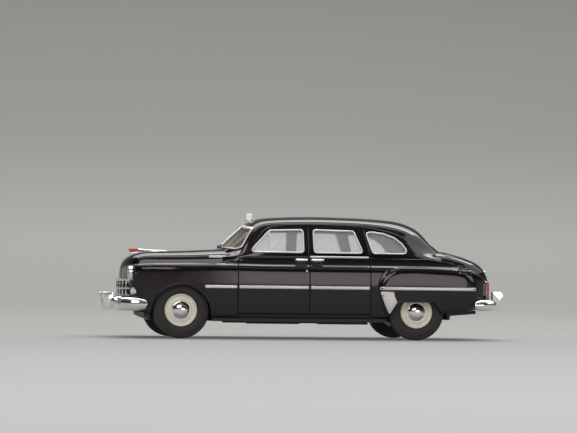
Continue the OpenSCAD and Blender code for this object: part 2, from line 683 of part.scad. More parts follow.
// Cabin fittings
floor_z = plate_z + plate_t;
well_r = tyre_d / 2 + 1.3;
well_t = 0.8;
tub_from = well_r + well_t + 3.1;
tub_to = drawn_base - well_r - well_t - 0.5;
tub_y = inner_y - 1.6;
tub_t = 0.8;
tub_top = shoulder_z - 0.4;
shelf_z = belt_z - 1.9;
shelf_y = door_y - 5.4;
module interior_tub() {
    color("#6b5f5a") {
        difference() {
            translate([along(tub_from), -tub_y, floor_z]) cube([along(tub_to) - along(tub_from), 2 * tub_y, tub_top - floor_z]);
            translate([along(tub_from) + tub_t, tub_t - tub_y, floor_z + tub_t])
                cube([along(tub_to) - along(tub_from) - 2 * tub_t, 2 * (tub_y - tub_t), tub_top]);
        }
        translate([0, 0, tub_top - overlap]) linear_extrude(shelf_z + tub_t - tub_top)
            polygon([for (side = [-1, 1], s = side < 0 ? [tub_to - 0.8, tub_to] : [tub_to, tub_to - 0.8])
                [along(s), side * shelf_y]]);
        translate([0, 0, shelf_z]) linear_extrude(tub_t) polygon([for (p = [[tub_to - 0.8, 0], [71, 0.8],
            [78, 3.8]]) [along(p[0]), shelf_y - p[1]], for (p = [[78, 3.8], [71, 0.8], [tub_to - 0.8, 0]])
            [along(p[0]), p[1] - shelf_y]]);
    }
}
front_bench = [[25, 0], [25, 5.6], [26.2, 6.6], [34, 6], [35.4, 18.4], [36.4, 19], [37.6, 18.4], [38, 0]];
rear_bench = [[49, 0], [49, 6], [50.2, 7], [57.5, 6.4], [59.4, 18.2], [60.4, 18.8], [61.6, 18.2], [62.1, 0]];
bench_y = 16;
module bench(points) {
    translate([0, bench_y, floor_z + tub_t]) rotate([90, 0, 0]) linear_extrude(2 * bench_y)
        polygon([for (p = points) [along(p[0]), p[1]]]);
}
module front_seat() { color("#6b5f5a") bench(front_bench); }
module rear_seat() { color("#6b5f5a") bench(rear_bench); }
dash_in = 7.4;
dash_y = door_y - dash_in;
dash_s = 20.6;
module dashboard() {
    color("#5a504c") translate([0, dash_y, 0]) rotate([90, 0, 0]) linear_extrude(2 * dash_y)
        polygon([for (p = [[tub_from + 0.8, -6.5], [dash_s, -6.5], [dash_s, -2], [19.8, -1.2], [18, -1.2],
            [tub_from + 0.8, -4.4]]) [along(p[0]) + (p[0] < tub_from + 1 ? tub_t - 0.8 * wheelbase / drawn_base : 0), belt_z + p[1]]]);
}
wheel_y = -8.2;
wheel_tilt = 62;
steer_d = 9.4;
module steering_wheel() {
    color("#e8e0cc") intersection() {
        translate([along(25.2), wheel_y, belt_z - 0.6]) rotate([0, wheel_tilt, 0]) {
            rotate_extrude() translate([steer_d / 2 - 0.35, 0]) circle(r = 0.35, $fn = 16);
            for (a = [0, 120, 240]) rotate([0, 0, a]) translate([0, -0.25, -0.3]) cube([steer_d / 2 - 0.4, 0.5, 0.4]);
            cylinder(d = 1.6, h = 0.6, center = true);
            translate([0, 0, -8]) cylinder(d = 0.9, h = 8);
        }
        translate([along(dash_s), wheel_y - steer_d, belt_z - 12]) cube([20, 2 * steer_d, 24]);
    }
}

// Base plate with wheel wells, axle bearings and bosses for the plinth screws
plate_y = inner_y - fit;
plate_plan = [[-11.5, 1.2], [-7, 0.4], [0, 0], [76, 0.1], [84, 0.6], [90, 1.4], [94, 2.8]];
well_gap = 2.55;
well_out = inner_y - 1;
// How far out the inner wall of a wheel well stands behind its tyre
function well_in(x) = (x < 0 ? front_track : rear_track) / 2 - tyre_w / 2 - well_gap - well_t;
function bearing_y(x) = well_in(x) - 3.6;
bearing_w = 2.2;
plinth_mid = 39;
// Chassis rails and exhaust cast in relief under the plate
relief_t = 0.8;
rail_runs = [[21.3, 38.1], [44, 60]];
rail_y = 12;
exhaust_run = [16, 62];
exhaust_y = 4;
module plate_blank() {
    top = [for (i = [len(plate_line) - 1:-1:0]) [along(plate_line[i][0]), plate_z + plate_t + plate_line[i][1]]];
    bottom = [for (p = plate_line) [along(p[0]), plate_z + p[1]]];
    intersection() {
        translate([0, plate_y, 0]) rotate([90, 0, 0]) linear_extrude(2 * plate_y) polygon(concat(bottom, top));
        linear_extrude(20) polygon([for (p = plate_plan) [along(p[0]), plate_y - p[1]],
            for (i = [len(plate_plan) - 1:-1:0]) [along(plate_plan[i][0]), plate_plan[i][1] - plate_y]]);
    }
}
module well(x, side) {
    inner = well_in(x);
    y = side > 0 ? well_out : -inner;
    translate([x, 0, axle_z]) difference() {
        translate([0, y, 0]) rotate([90, 0, 0]) cylinder(r = well_r + well_t, h = well_out - inner);
        translate([0, side * (inner + well_t + 6), 0]) rotate([90, 0, 0]) cylinder(r = well_r, h = 12, center = true);
        rotate([90, 0, 0]) cylinder(r = axle_d / 2 + 0.5, h = 4 * well_out, center = true);
        translate([-2 * well_r, -2 * well_r, plate_z + plate_t - overlap - axle_z - 2 * well_r])
            cube([4 * well_r, 4 * well_r, 2 * well_r]);
    }
}
module baseplate() {
    color("#1c1c1e") {
        difference() {
            union() {
                difference() {
                    plate_blank();
                    for (x = [front_axle_x, rear_axle_x], side = [-1, 1])
                        translate([x, side * (well_in(x) + well_t + 6), plate_z]) cube([2 * well_r - 1, 12, 6], center = true);
                }
                for (x = [front_axle_x, rear_axle_x], side = [-1, 1]) {
                    well(x, side);
                    translate([x - 1.8, side * bearing_y(x) - bearing_w / 2, plate_z + plate_t - overlap])
                        cube([3.6, bearing_w, axle_z - plate_z - plate_t + 1.8]);
                }
                for (k = [-1, 1]) translate([along(plinth_mid) + k * plinth_pitch / 2, 0, plate_z])
                    cylinder(r = plinth_hole_r + 1.2, h = plinth_depth + 1);
            }
            for (x = [front_axle_x, rear_axle_x]) translate([x, 0, axle_z]) rotate([90, 0, 0])
                cylinder(r = axle_d / 2 + axle_play, h = 2 * bearing_y(x) + 2 * bearing_w, center = true);
            for (k = [-1, 1]) translate([along(plinth_mid) + k * plinth_pitch / 2, 0, plate_z - 1])
                cylinder(r = plinth_hole_r, h = plinth_depth + 1);
        }
        translate([along(exhaust_run[0]), exhaust_y, plate_z - relief_t])
            cube([along(exhaust_run[1]) - along(exhaust_run[0]), 2.4, relief_t + overlap]);
        for (run = rail_runs, side = [-1, 1]) translate([along(run[0]), side * rail_y - 0.8, plate_z - relief_t])
            cube([along(run[1]) - along(run[0]), 1.6, relief_t + overlap]);
        for (side = [-1, 1]) {
            translate([along(front_lug_s), side * iron_y - iron_w / 2, plate_z + 1.6])
                cube([1.6, iron_w, front_iron_z + iron_h - plate_z - 1.6]);
            translate([along(rear_lug_s) - 1.6, side * iron_y - iron_w / 2, plate_z + 3])
                cube([1.6, iron_w, rear_iron_z + iron_h - plate_z - 3]);
        }
    }
}

// Wheels, turned about the axle, outer side towards +Y before they are placed
module at_wheel(x, y) {
    translate([x, y, axle_z]) rotate([y > 0 ? -90 : 90, 0, 0]) children();
}
rim_r = rim_d / 2;
cap_r = hubcap_d / 2;
dish = 0.9;
module axle(x, track) {
    color("gray") translate([x, 0, axle_z]) rotate([90, 0, 0]) cylinder(d = axle_d, h = track + 2 * dish - 0.2, center = true);
}
module wheel(x, y) {
    half = 0.34 * tyre_w;
    bore = axle_d / 2 + fit;
    color("#e9dcae") at_wheel(x, y) rotate_extrude() polygon([[bore, -1.3], [bore + 1.2, -1.3], [bore + 1.3, -0.4],
        [rim_r - 1, -0.6], [rim_r - 1, -half], [rim_r, -half], [rim_r, half - 0.2], [rim_r - 0.3, half],
        [rim_r - 0.6, half - 0.25], [rim_r - 0.9, dish - 0.45], [cap_r + 0.15, dish], [bore, dish]]);
}
module tyre(x, y) {
    half = tyre_w / 2;
    r = tyre_d / 2;
    color("#202022") at_wheel(x, y) rotate_extrude($fn = 72) polygon([for (p = rounded([[rim_r + fit, 0],
        [rim_r + fit, 0.36 * tyre_w], [rim_r + 0.3, half - 0.2], [(rim_r + r) / 2, half + 0.05], [r - 0.5, half - 0.1],
        [r, half - 0.7], [r, 0]], 3)) p, for (p = rounded([[r, 0], [r, 0.7 - half], [r - 0.5, 0.1 - half],
        [(rim_r + r) / 2, -half - 0.05], [rim_r + 0.3, 0.2 - half], [rim_r + fit, -0.36 * tyre_w]], 3)) p]);
}
module hubcap(x, y) {
    color("silver") at_wheel(x, y) translate([0, 0, dish]) intersection() {
        cylinder(r = cap_r, h = 1.3);
        translate([0, 0, 1.3 - (cap_r * cap_r + 1.3 * 1.3) / 2.6]) sphere(r = (cap_r * cap_r + 1.3 * 1.3) / 2.6);
    }
}
module front_axle() { axle(front_axle_x, front_track); }
module rear_axle() { axle(rear_axle_x, rear_track); }
module front_wheel_left() { wheel(front_axle_x, -front_track / 2); }
module front_wheel_right() { wheel(front_axle_x, front_track / 2); }
module rear_wheel_left() { wheel(rear_axle_x, -rear_track / 2); }
module rear_wheel_right() { wheel(rear_axle_x, rear_track / 2); }
module front_tyre_left() { tyre(front_axle_x, -front_track / 2); }
module front_tyre_right() { tyre(front_axle_x, front_track / 2); }
module rear_tyre_left() { tyre(rear_axle_x, -rear_track / 2); }
module rear_tyre_right() { tyre(rear_axle_x, rear_track / 2); }
module front_cap_left() { hubcap(front_axle_x, -front_track / 2); }
module front_cap_right() { hubcap(front_axle_x, front_track / 2); }
module rear_cap_left() { hubcap(rear_axle_x, -rear_track / 2); }
module rear_cap_right() { hubcap(rear_axle_x, rear_track / 2); }

body_shell();
windscreen();
side_glass();
rear_glass();
side_frames();
screen_frame();
rear_frame();
headlamp_rims();
headlamp_lenses();
parking_lamps();
tail_lamps();
grille();
front_bumper();
front_guards();
rear_bumper();
rear_guards();
side_mouldings();
stone_guards();
door_handles();
boot_handle();
bonnet_spear();
bonnet_crest();
bonnet_badges();
roof_lamp_base();
roof_lamp();
interior_tub();
front_seat();
rear_seat();
dashboard();
steering_wheel();
baseplate();
front_axle();
front_wheel_left();
front_wheel_right();
front_tyre_left();
front_tyre_right();
front_cap_left();
front_cap_right();
rear_axle();
rear_wheel_left();
rear_wheel_right();
rear_tyre_left();
rear_tyre_right();
rear_cap_left();
rear_cap_right();
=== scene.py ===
import math

import bpy
import numpy as np
from mathutils import Matrix, Vector
from mathutils.bvhtree import BVHTree


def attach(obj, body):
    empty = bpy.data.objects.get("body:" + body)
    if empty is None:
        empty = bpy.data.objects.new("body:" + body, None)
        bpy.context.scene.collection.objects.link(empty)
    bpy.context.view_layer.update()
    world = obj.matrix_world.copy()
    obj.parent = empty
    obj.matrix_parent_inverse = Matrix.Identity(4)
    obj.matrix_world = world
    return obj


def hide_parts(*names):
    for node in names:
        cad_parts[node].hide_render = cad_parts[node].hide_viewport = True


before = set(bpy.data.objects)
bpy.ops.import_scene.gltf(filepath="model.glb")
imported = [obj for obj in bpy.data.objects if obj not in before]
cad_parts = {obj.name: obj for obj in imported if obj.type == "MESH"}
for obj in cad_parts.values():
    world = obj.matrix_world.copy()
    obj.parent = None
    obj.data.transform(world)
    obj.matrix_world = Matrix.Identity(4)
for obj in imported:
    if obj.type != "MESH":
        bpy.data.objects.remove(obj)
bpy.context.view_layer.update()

# The studio: grey paper that runs up into the backdrop, soft boxes behind, above and beside the camera, and a
# room that is dark at eye level, as a gloss black model needs to show its lines. The paper glows a little, a
# painted glow that lightens the shadow under the model.
MM = 0.001
scene = bpy.context.scene
scene.view_settings.view_transform = "Standard"


def linear(code):
    rgb = [int(code[i:i + 2], 16) / 255 for i in (1, 3, 5)]
    return tuple(c / 12.92 if c <= 0.04045 else ((c + 0.055) / 1.055) ** 2.4 for c in rgb) + (1.0,)


def feed(tree, node, **inputs):
    """Gives a node's sockets, named or numbered as i0, i1 and so on, their numbers, colours or links."""
    for key, value in inputs.items():
        key = int(key[1:]) if key[0] == "i" and key[1:].isdigit() else key.replace("_", " ")
        if isinstance(value, bpy.types.NodeSocket):
            tree.links.new(value, node.inputs[key])
        else:
            node.inputs[key].default_value = value
    return node


def add(tree, kind, settings=None, **inputs):
    made = tree.nodes.new(kind)
    for key, value in (settings or {}).items():
        setattr(made, key, value)
    return feed(tree, made, **inputs)


def material(name):
    made = bpy.data.materials.new(name)
    made.use_nodes = True
    return made, made.node_tree, made.node_tree.nodes["Principled BSDF"]


LENS, SENSOR, DISTANCE, AIM = 138.69, 36, 713.25, Vector((-4.222, 0, 38.947))
camera = bpy.data.objects.new("camera", bpy.data.cameras.new("camera"))
scene.collection.objects.link(camera)
camera.data.lens, camera.data.sensor_width = LENS, SENSOR
camera.data.clip_start, camera.data.clip_end = 0.01, 20
azimuth, elevation, roll = (math.radians(a) for a in (-8.885, -1.8545, -0.6665))
level = Vector((math.sin(azimuth), -math.cos(azimuth), 0))
back = level * math.cos(elevation) + Vector((0, 0, math.sin(elevation)))
right = (-back).cross(Vector((0, 0, 1))).normalized()
up = right.cross(-back)
turned_right = right * math.cos(roll) - up * math.sin(roll)
turned_up = right * math.sin(roll) + up * math.cos(roll)
turn = Matrix((turned_right, turned_up, back)).transposed().to_4x4()
camera.matrix_world = Matrix.Translation((AIM + back * DISTANCE) * MM) @ turn
scene.camera = camera

world = bpy.data.worlds.new("studio_room")
scene.world = world
world.use_nodes = True
sky = world.node_tree
sky.nodes.clear()
looking = add(sky, "ShaderNodeTexCoord")
height = add(sky, "ShaderNodeSeparateXYZ", Vector=looking.outputs["Generated"])
room = add(sky, "ShaderNodeValToRGB", Fac=height.outputs["Z"])
room_tones = ((0.0, "#c6c2c2"), (1.0, "#f4f4f2"), (0.1, "#bcb6b9"), (0.18, "#6a6466"), (0.25, "#343031"),
              (0.48, "#343031"), (0.64, "#6c6868"), (0.85, "#7c7a79"))
for k, (place, tone) in enumerate(room_tones):
    stop = room.color_ramp.elements[k] if k < 2 else room.color_ramp.elements.new(place)
    stop.position, stop.color = place, linear(tone)
path = add(sky, "ShaderNodeLightPath")
backdrop_light = add(sky, "ShaderNodeBackground", Color=linear("#b4b4af"), Strength=1.0)
room_light = add(sky, "ShaderNodeBackground", Color=room.outputs["Color"], Strength=0.9)
seen = add(sky, "ShaderNodeMixShader", i0=path.outputs["Is Camera Ray"], i1=room_light.outputs[0],
           i2=backdrop_light.outputs[0])
add(sky, "ShaderNodeOutputWorld", Surface=seen.outputs[0])

for name, place, aim, width, depth, watts in (
        ("roof_strip_box", (0.12, 0.17, 0.62), (0.12, 0.1, 0.02), 1.0, 0.19, 4.4),
        ("shoulder_strip_box", (0.1, -0.1, 0.62), (0.1, -0.05, 0.02), 1.0, 0.1, 1.1),
        ("overhead_box", (0.05, 0.5, 0.75), (0, 0, 0.02), 1.5, 0.36, 6.0),
        ("camera_side_box", (-0.35, -1.1, 0.75), (0, 0, 0.02), 0.9, 0.6, 5.8),
        ("door_panel_box", (0.4, -1.2, 0.19), (0.1, 0, 0.05), 0.56, 0.26, 0.95),
        ("rear_shoulder_box", (0.87, 0.07, 0.6), (0.04, 0, 0.03), 1.0, 0.45, 2.2)):
    box = bpy.data.objects.new(name, bpy.data.lights.new(name, "AREA"))
    scene.collection.objects.link(box)
    box.data.shape, box.data.size, box.data.size_y, box.data.energy = "RECTANGLE", width, depth, watts
    box.location = place
    box.rotation_euler = (Vector(aim) - Vector(place)).to_track_quat("-Z", "Y").to_euler()

FLAT_SHARE, BEND_SHARE, BEND_Y, BEND_R, PAPER_W, PAPER_L, PAPER_H = 0.62, 0.2, 0.55, 0.45, 6, 3, 2.2
bpy.ops.object.select_all(action="DESELECT")
bpy.ops.mesh.primitive_plane_add(size=1)
floor = bpy.context.object
floor.name = "floor"
bpy.ops.object.mode_set(mode="EDIT")
bpy.ops.mesh.subdivide(number_cuts=24)
bpy.ops.object.mode_set(mode="OBJECT")
spots = np.array([v.co for v in floor.data.vertices])
run = spots[:, 1] + 0.5
sweep = np.clip((run - FLAT_SHARE) / BEND_SHARE, 0, None)
bend = np.clip(sweep, 0, 1) * math.pi / 2
rise = BEND_R * (1 - np.cos(bend)) + PAPER_H * np.clip(sweep - 1, 0, None)
flat = run < FLAT_SHARE
spots[:, 0] *= PAPER_W
spots[:, 1] = np.where(flat, (run - FLAT_SHARE) * PAPER_L + BEND_Y, BEND_Y + BEND_R * np.sin(bend))
spots[:, 2] = np.where(flat, 0, rise)
floor.data.vertices.foreach_set("co", spots.ravel())
bpy.ops.object.shade_smooth()
# Matt paper: a grey with painted light, its tone painted lighter towards the camera and where it turns up,
# and a faint painted glow that lightens the shadow under the model.
paper, tree, shader = material("seamless_grey_paper")
where = add(tree, "ShaderNodeTexCoord")
spot = add(tree, "ShaderNodeSeparateXYZ", Vector=where.outputs["Object"])
reach = add(tree, "ShaderNodeMath", {"operation": "ADD"}, i0=spot.outputs["Y"], i1=spot.outputs["Z"])
share = add(tree, "ShaderNodeMapRange", Value=reach.outputs[0], From_Min=-0.6, From_Max=1.4)
fade = add(tree, "ShaderNodeValToRGB", Fac=share.outputs["Result"])
paper_tones = ((0.1, "#8c8c8b"), (0.9, "#757572"), (0.27, "#727271"), (0.4, "#727270"), (0.55, "#7d7d7a"),
               (0.63, "#7f7f7c"), (0.7, "#858582"), (0.78, "#7a7a77"))
for k, (place, tone) in enumerate(paper_tones):
    stop = fade.color_ramp.elements[k] if k < 2 else fade.color_ramp.elements.new(place)
    stop.position, stop.color = place, linear(tone)
# the paper's emission is painted light, which lifts the shadow under the model
feed(tree, shader, Base_Color=fade.outputs["Color"], Emission_Color=fade.outputs["Color"],
     Emission_Strength=0.55, Roughness=0.75)
floor.data.materials.append(paper)

# Body shell: one hollow zinc casting with the wings, doors, bonnet and boot cast shut, sprayed gloss black.
# Its skins are drawn through the cross-sections of the car, joined, hollowed, and cut for windows and wheels.
FRONT_AXLE_X, REAR_AXLE_X, AXLE_Z = -40.5, 33.9, 8.8
DOOR_Y, WING_OUT, SILL_Z, SHOULDER_Z, BELT_Z, WALL = 21.2, 0.9, 6.4, 22.6, 25.5, 1.2
GAP_W, GAP_DEEP = 0.36, 0.35

lower_rows = [  # station behind the front axle, side inset, bottom, shoulder, deck
    (-17.2, 16, 5.4, -1.2, -4.2), (-16.95, 12.5, 5.0, -0.9, -3.6), (-16.6, 9.5, 4.7, -0.7, -3.2),
    (-16.1, 6.3, 4.3, -0.5, -2.9), (-15.4, 3.9, 3.8, -0.35, -2.75), (-14, 1.9, 3.0, -0.2, -2.6),
    (-11, 0.8, 1.2, -0.1, -2.4), (-7, 0.2, 0.2, 0, -2.3), (0, 0, 0, 0, -2.2), (10, 0, 0, 0.1, -2.0),
    (15, 0, 0, 0.1, -1.1), (19, 0, 0, 0.1, -0.1), (26, 0, 0, 0, 0), (62, 0, 0.3, 0, 0),
    (76, 0.05, 1.4, 0, 0), (84, 0.2, 1.9, -0.2, -0.9), (90, 0.6, 2.6, -0.7, -2.4), (94, 1.7, 3.3, -1.7, -4.0),
    (97, 4.0, 4.0, -3.2, -5.8), (98.6, 7.0, 4.6, -4.6, -7.6), (99.6, 11, 5.2, -6.2, -9.0)]
bonnet_rows = [  # station, half width, top above the belt
    (-17.5, 0.6, -3.4), (-17.2, 1.9, -2.2), (-16.7, 3.9, -1.35), (-15.8, 6.8, -0.55), (-15, 8.6, 0.0),
    (-13.9, 10.2, 0.65), (-10, 11.4, 1.55), (-5, 12.3, 1.75), (3, 13.4, 2.05), (11, 14.5, 2.5),
    (17, 15.6, 2.8)]
cabin_rows = [  # station, foot inset, roof edge inset, roof edge and roof above the belt
    (13.2, 6.2, 9.0, 0.2, 2.5), (16.5, 3.6, 6.6, 1.6, 5.6), (20.3, 2.5, 6.0, 5.0, 9.1),
    (22.3, 2.3, 6.1, 7.1, 10.8), (24.4, 2.25, 6.1, 9.0, 12.1), (28, 2.2, 5.9, 10.1, 12.7),
    (35, 2.15, 5.7, 10.45, 13.15), (44, 2.15, 5.6, 10.5, 13.35), (56, 2.3, 5.7, 10.3, 13.15),
    (64, 2.7, 6.1, 9.4, 12.8), (69, 3.2, 6.6, 7.9, 12.4), (73, 3.9, 7.1, 5.9, 11.5), (77, 5.2, 8.0, 3.6, 9.7),
    (80, 6.6, 9.2, 2.2, 6.9), (83.2, 8.3, 11.2, 1.1, 3.85), (86, 10.5, 14.0, 0.3, 2.2)]
boot_rows = [  # station, half width, top above the belt
    (78, 12.2, 3.0), (85, 13.2, 2.75), (89, 13.0, 1.9), (93, 12.2, 0.75), (96.5, 10.9, -0.65),
    (98.8, 9.4, -2.4), (100.2, 8.0, -4.6), (101, 6.6, -7.0), (101.4, 5.0, -9.6)]
wing_outline = np.array([  # side view of a rear wing: station, height
    (65, 8), (63.8, 11.5), (62.7, 15.4), (63.5, 18.6), (65.7, 21), (68.6, 22.1), (74.8, 22.2), (86, 21.5),
    (90, 20.4), (92.4, 17.8), (94, 13.4), (92.4, 10.6), (90, 9.8), (84, 8.9)])


def along(s):
    """The place in x of a station behind the front axle."""
    return FRONT_AXLE_X + s


def smooth_rows(rows, stations, blur):
    """Every column of a section table at the given stations, drawn as one fair curve."""
    step = 0.05
    rows = np.array(rows, float)
    s, slope = rows[:, 0], np.diff(rows[:, 1:], axis=0) / np.diff(rows[:, 0])[:, None]
    tangent = np.vstack([slope[:1], np.zeros_like(slope[1:]), slope[-1:]])
    a, b = slope[:-1], slope[1:]
    tangent[1:-1] = np.where(a * b > 0, 2 * a * b / np.where(a + b == 0, 1, a + b), 0)
    fine = np.linspace(s[0], s[-1], int((s[-1] - s[0]) / step) + 1)
    i = np.clip(np.searchsorted(s, fine) - 1, 0, len(s) - 2)
    h = (s[i + 1] - s[i])[:, None]
    t = (fine[:, None] - s[i][:, None]) / h
    values = (rows[i, 1:] * (1 + 2 * t) * (1 - t) ** 2 + rows[i + 1, 1:] * t * t * (3 - 2 * t)
              + h * t * (1 - t) * (tangent[i] * (1 - t) - tangent[i + 1] * t))
    reach = int(blur / step * 3)
    kernel = np.exp(-0.5 * (np.arange(-reach, reach + 1) * step / blur) ** 2)
    kernel /= kernel.sum()
    before, after = 2 * values[0] - values[reach:0:-1], 2 * values[-1] - values[-2:-reach - 2:-1]
    padded = np.vstack([before, values, after])
    fair = np.stack([np.convolve(padded[:, c], kernel, "valid") for c in range(values.shape[1])], 1)
    return np.stack([np.interp(stations, fine, fair[:, c]) for c in range(fair.shape[1])], 1)


def rounded_section(control, count, close=1.0):
    """A control line (stations x corners x 2) with round corners, stepped closer where a share is larger."""
    t = np.linspace(0, 1, 13)[:-1]
    pieces = []
    for i in range(1, control.shape[1] - 1):
        a = control[:, 0] if i == 1 else (control[:, i - 1] + control[:, i]) / 2
        c = control[:, -1] if i == control.shape[1] - 2 else (control[:, i] + control[:, i + 1]) / 2
        pieces += [a * (1 - k) ** 2 + control[:, i] * 2 * k * (1 - k) + c * k * k for k in t]
    line = np.stack(pieces + [control[:, -1]], 1)
    leg = np.diff(line, axis=1)
    shares = np.repeat(np.broadcast_to(close, control.shape[1] - 2), len(t))
    size = np.hypot(leg[..., 0], leg[..., 1]) * shares + 1e-9
    done = np.concatenate([np.zeros((len(line), 1)), np.cumsum(size, 1)], 1)
    out = np.empty((len(line), count, 2))
    for k in range(len(line)):
        goal = np.linspace(0, done[k, -1], count)
        out[k] = np.stack([np.interp(goal, done[k], line[k, :, c]) for c in (0, 1)], 1)
    return out


def stations_between(first, last, middle, end):
    """Stations that lie closer together towards both ends of a skin."""
    s = np.linspace(0, 1, int((last - first) / middle) + 1) * (last - first) + first
    steps = np.arange(end, 4 * middle, end)
    closer = [first + d for d in steps] + [last - d for d in steps]
    return np.array(sorted(set(np.round(np.concatenate([s, closer]), 4))))


def skin(half, x):
    """Vertices and triangles of a closed skin from its half sections at the places x."""
    rows = len(half)
    ring = np.concatenate([half, half[:, -2:0:-1] * [-1, 1]], 1)
    around = ring.shape[1]
    verts = np.concatenate([np.repeat(x[:, None], around, 1)[..., None], ring], 2).reshape(-1, 3)
    i, j = np.meshgrid(np.arange(rows - 1), np.arange(around), indexing="ij")
    a, b = i * around + j, (i + 1) * around + j
    c, d = (i + 1) * around + (j + 1) % around, i * around + (j + 1) % around
    sides = np.concatenate([np.stack([a, c, b], -1).reshape(-1, 3), np.stack([a, d, c], -1).reshape(-1, 3)])
    middle, last, k = len(verts), (rows - 1) * around, np.arange(around)
    verts = np.vstack([verts, verts[:around].mean(0), verts[-around:].mean(0)])
    ends = np.concatenate([np.stack([np.full(around, middle), (k + 1) % around, k], -1),
                           np.stack([np.full(around, middle + 1), last + k, last + (k + 1) % around], -1)])
    return verts, np.concatenate([sides, ends])


def stack(*columns):
    """A control line from pairs of arrays or numbers, one pair for each corner."""
    length = max(np.size(c) for pair in columns for c in pair)
    corners = [np.stack([np.broadcast_to(c, length) for c in pair], -1) for pair in columns]
    return np.stack(corners, 1).astype(float)


def inside_distance(outline, x, z):
    """How far each point lies inside a closed outline, negative outside it."""
    p = np.stack([x, z], -1)
    nearest, crossings = np.full(x.shape, 1e9), np.zeros(x.shape, int)
    for a, b in zip(outline, np.roll(outline, -1, 0)):
        ab = b - a
        t = np.clip(((p - a) @ ab) / (ab @ ab), 0, 1)
        nearest = np.minimum(nearest, np.linalg.norm(p - a - t[..., None] * ab, axis=-1))
        hits = (a[1] > z) != (b[1] > z)
        crossings += hits & (x < a[0] + (z - a[1]) * ab[0] / np.where(ab[1] == 0, 1e-9, ab[1]))
    return np.where(crossings % 2 == 1, nearest, -nearest)


def lower_skin(inset=0.0, fine=True):
    """The body below the belt: flat sides, a shoulder bead, a belt bead along the doors, and rear wings."""
    s = stations_between(-17.2 + inset, 99.6 - inset, 0.42 if fine else 1.6, 0.15 if fine else 0.5)
    row = smooth_rows(lower_rows, s, 0.7)
    w, bottom = DOOR_Y - row[:, 0] - inset, SILL_Z + row[:, 1] - (8 if inset >= WALL else 0)
    shoulder, deck = SHOULDER_Z + row[:, 2] - inset * 0.6, BELT_Z + row[:, 3] - inset
    flat = np.minimum(4, 0.3 * (shoulder - bottom))
    fold = shoulder - 0.4
    rise = deck - fold
    crest = np.clip(0.6 * rise, 0.02, 0.6)
    bead_z = 0.42 * np.clip((s - 17) / 2, 0, 1) * np.clip((60.5 - s) / 2, 0, 1)
    control = stack(
        (0, bottom), (w - 1.2, bottom), (w - 0.5, bottom + 0.35), (w - 0.08, bottom + flat),
        (w, shoulder - 1.6 * flat), (w - 0.06, shoulder - flat), (w - 0.22, fold - 0.8),
        (w - 0.42, fold - 0.2), (w - 0.44, fold + 0.02), (w - 0.08, fold + 0.45 * crest),
        (w - 0.28, fold + crest),
        (w - 0.85, fold + crest + 0.12 * (rise - crest)), (w - 1.4, fold + crest + 0.5 * (rise - crest)),
        (w - 1.75, deck - 0.25), (w - 1.7, deck + 0.4 * bead_z), (w - 1.8, deck + bead_z),
        (w - 2.3, deck + bead_z + 0.08), (w / 2, deck + 0.2), (0, deck + 0.2))
    closeness = (0.2, 1, 1.2, 1, 1, 1, 2.5, 4, 4, 4, 4, 2.5, 1.5, 3, 4, 4, 0.3)
    half = rounded_section(control, 84 if fine else 36, closeness)
    if fine and inset == 0:
        z, x = half[..., 1], np.repeat(s[:, None], half.shape[1], 1)
        depth = inside_distance(rounded_outline(wing_outline, 9, 8), x, z) + WING_OUT
        roll_over = np.clip(depth / 1.7, 0, 1)
        pad = WING_OUT * np.sqrt(1 - (1 - roll_over) ** 2)
        half[..., 0] += np.where(half[..., 0] > 5, pad, 0)
    return skin(half, along(s))


def bonnet_skin():
    s = stations_between(-17.5, 17, 0.6, 0.15)
    row = smooth_rows(bonnet_rows, s, 0.5)
    w, top = row[:, 0], BELT_Z + row[:, 1]
    foot = np.minimum(SHOULDER_Z - 4.5, top - 1)
    h = top - foot
    return skin(rounded_section(stack(
        (0, foot), (w, foot), (w, foot + 0.5 * h), (0.93 * w, foot + 0.82 * h), (0.7 * w, top - 0.25),
        (0.3 * w, top), (0, top)), 44), along(s))


def cabin_skin(inset=0.0, fine=True):
    s = stations_between(13.2 + inset, 86 - inset, 0.6 if fine else 1.6, 0.2)
    row = smooth_rows(cabin_rows, s, 1.1)
    foot, edge = DOOR_Y - row[:, 0] - inset, DOOR_Y - row[:, 1] - inset
    edge_z, top = BELT_Z + row[:, 2] - 0.6 * inset, BELT_Z + row[:, 3] - inset
    h = top - edge_z
    return skin(rounded_section(stack(
        (0, BELT_Z - 3), (foot, BELT_Z - 3), (foot, BELT_Z + 0.15),
        ((foot + edge) / 2 + 0.2, (BELT_Z + edge_z) / 2), (edge, edge_z), (0.9 * edge, edge_z + 0.55 * h),
        (0.6 * edge, edge_z + 0.93 * h), (0.25 * edge, top), (0, top)), 64 if fine else 30), along(s))


def boot_skin(inset=0.0):
    s = stations_between(78 + inset, 101.4 - inset, 0.5, 0.12)
    row = smooth_rows(boot_rows, s, 0.6)
    w, top, foot = row[:, 0] - inset, BELT_Z + row[:, 1] - inset, np.full(len(s), SILL_Z + 4.6)
    h = top - foot
    return skin(rounded_section(stack(
        (0, foot), (w, foot), (w + 0.4, foot + 0.5 * h), (0.95 * w, foot + 0.85 * h), (0.72 * w, top - 0.3),
        (0.3 * w, top), (0, top)), 44), along(s))


# while it is cut, each skin has a slot of its own, so that its faces can be told apart afterwards
LINING, CUT, SLEEVE, GAP = 4, 5, 6, 7
shell_slots = [bpy.data.materials.new(f"skin_{k}") for k in range(8)]


def solid(name, shape, slot=0):
    verts, faces = shape
    mesh = bpy.data.meshes.new(name)
    faces = faces.tolist() if isinstance(faces, np.ndarray) else faces
    mesh.from_pydata((np.asarray(verts) * MM).tolist(), [], faces)
    for made in shell_slots:
        mesh.materials.append(made)
    mesh.polygons.foreach_set("material_index", np.full(len(mesh.polygons), slot, np.int32))
    made = bpy.data.objects.new(name, mesh)
    scene.collection.objects.link(made)
    return made


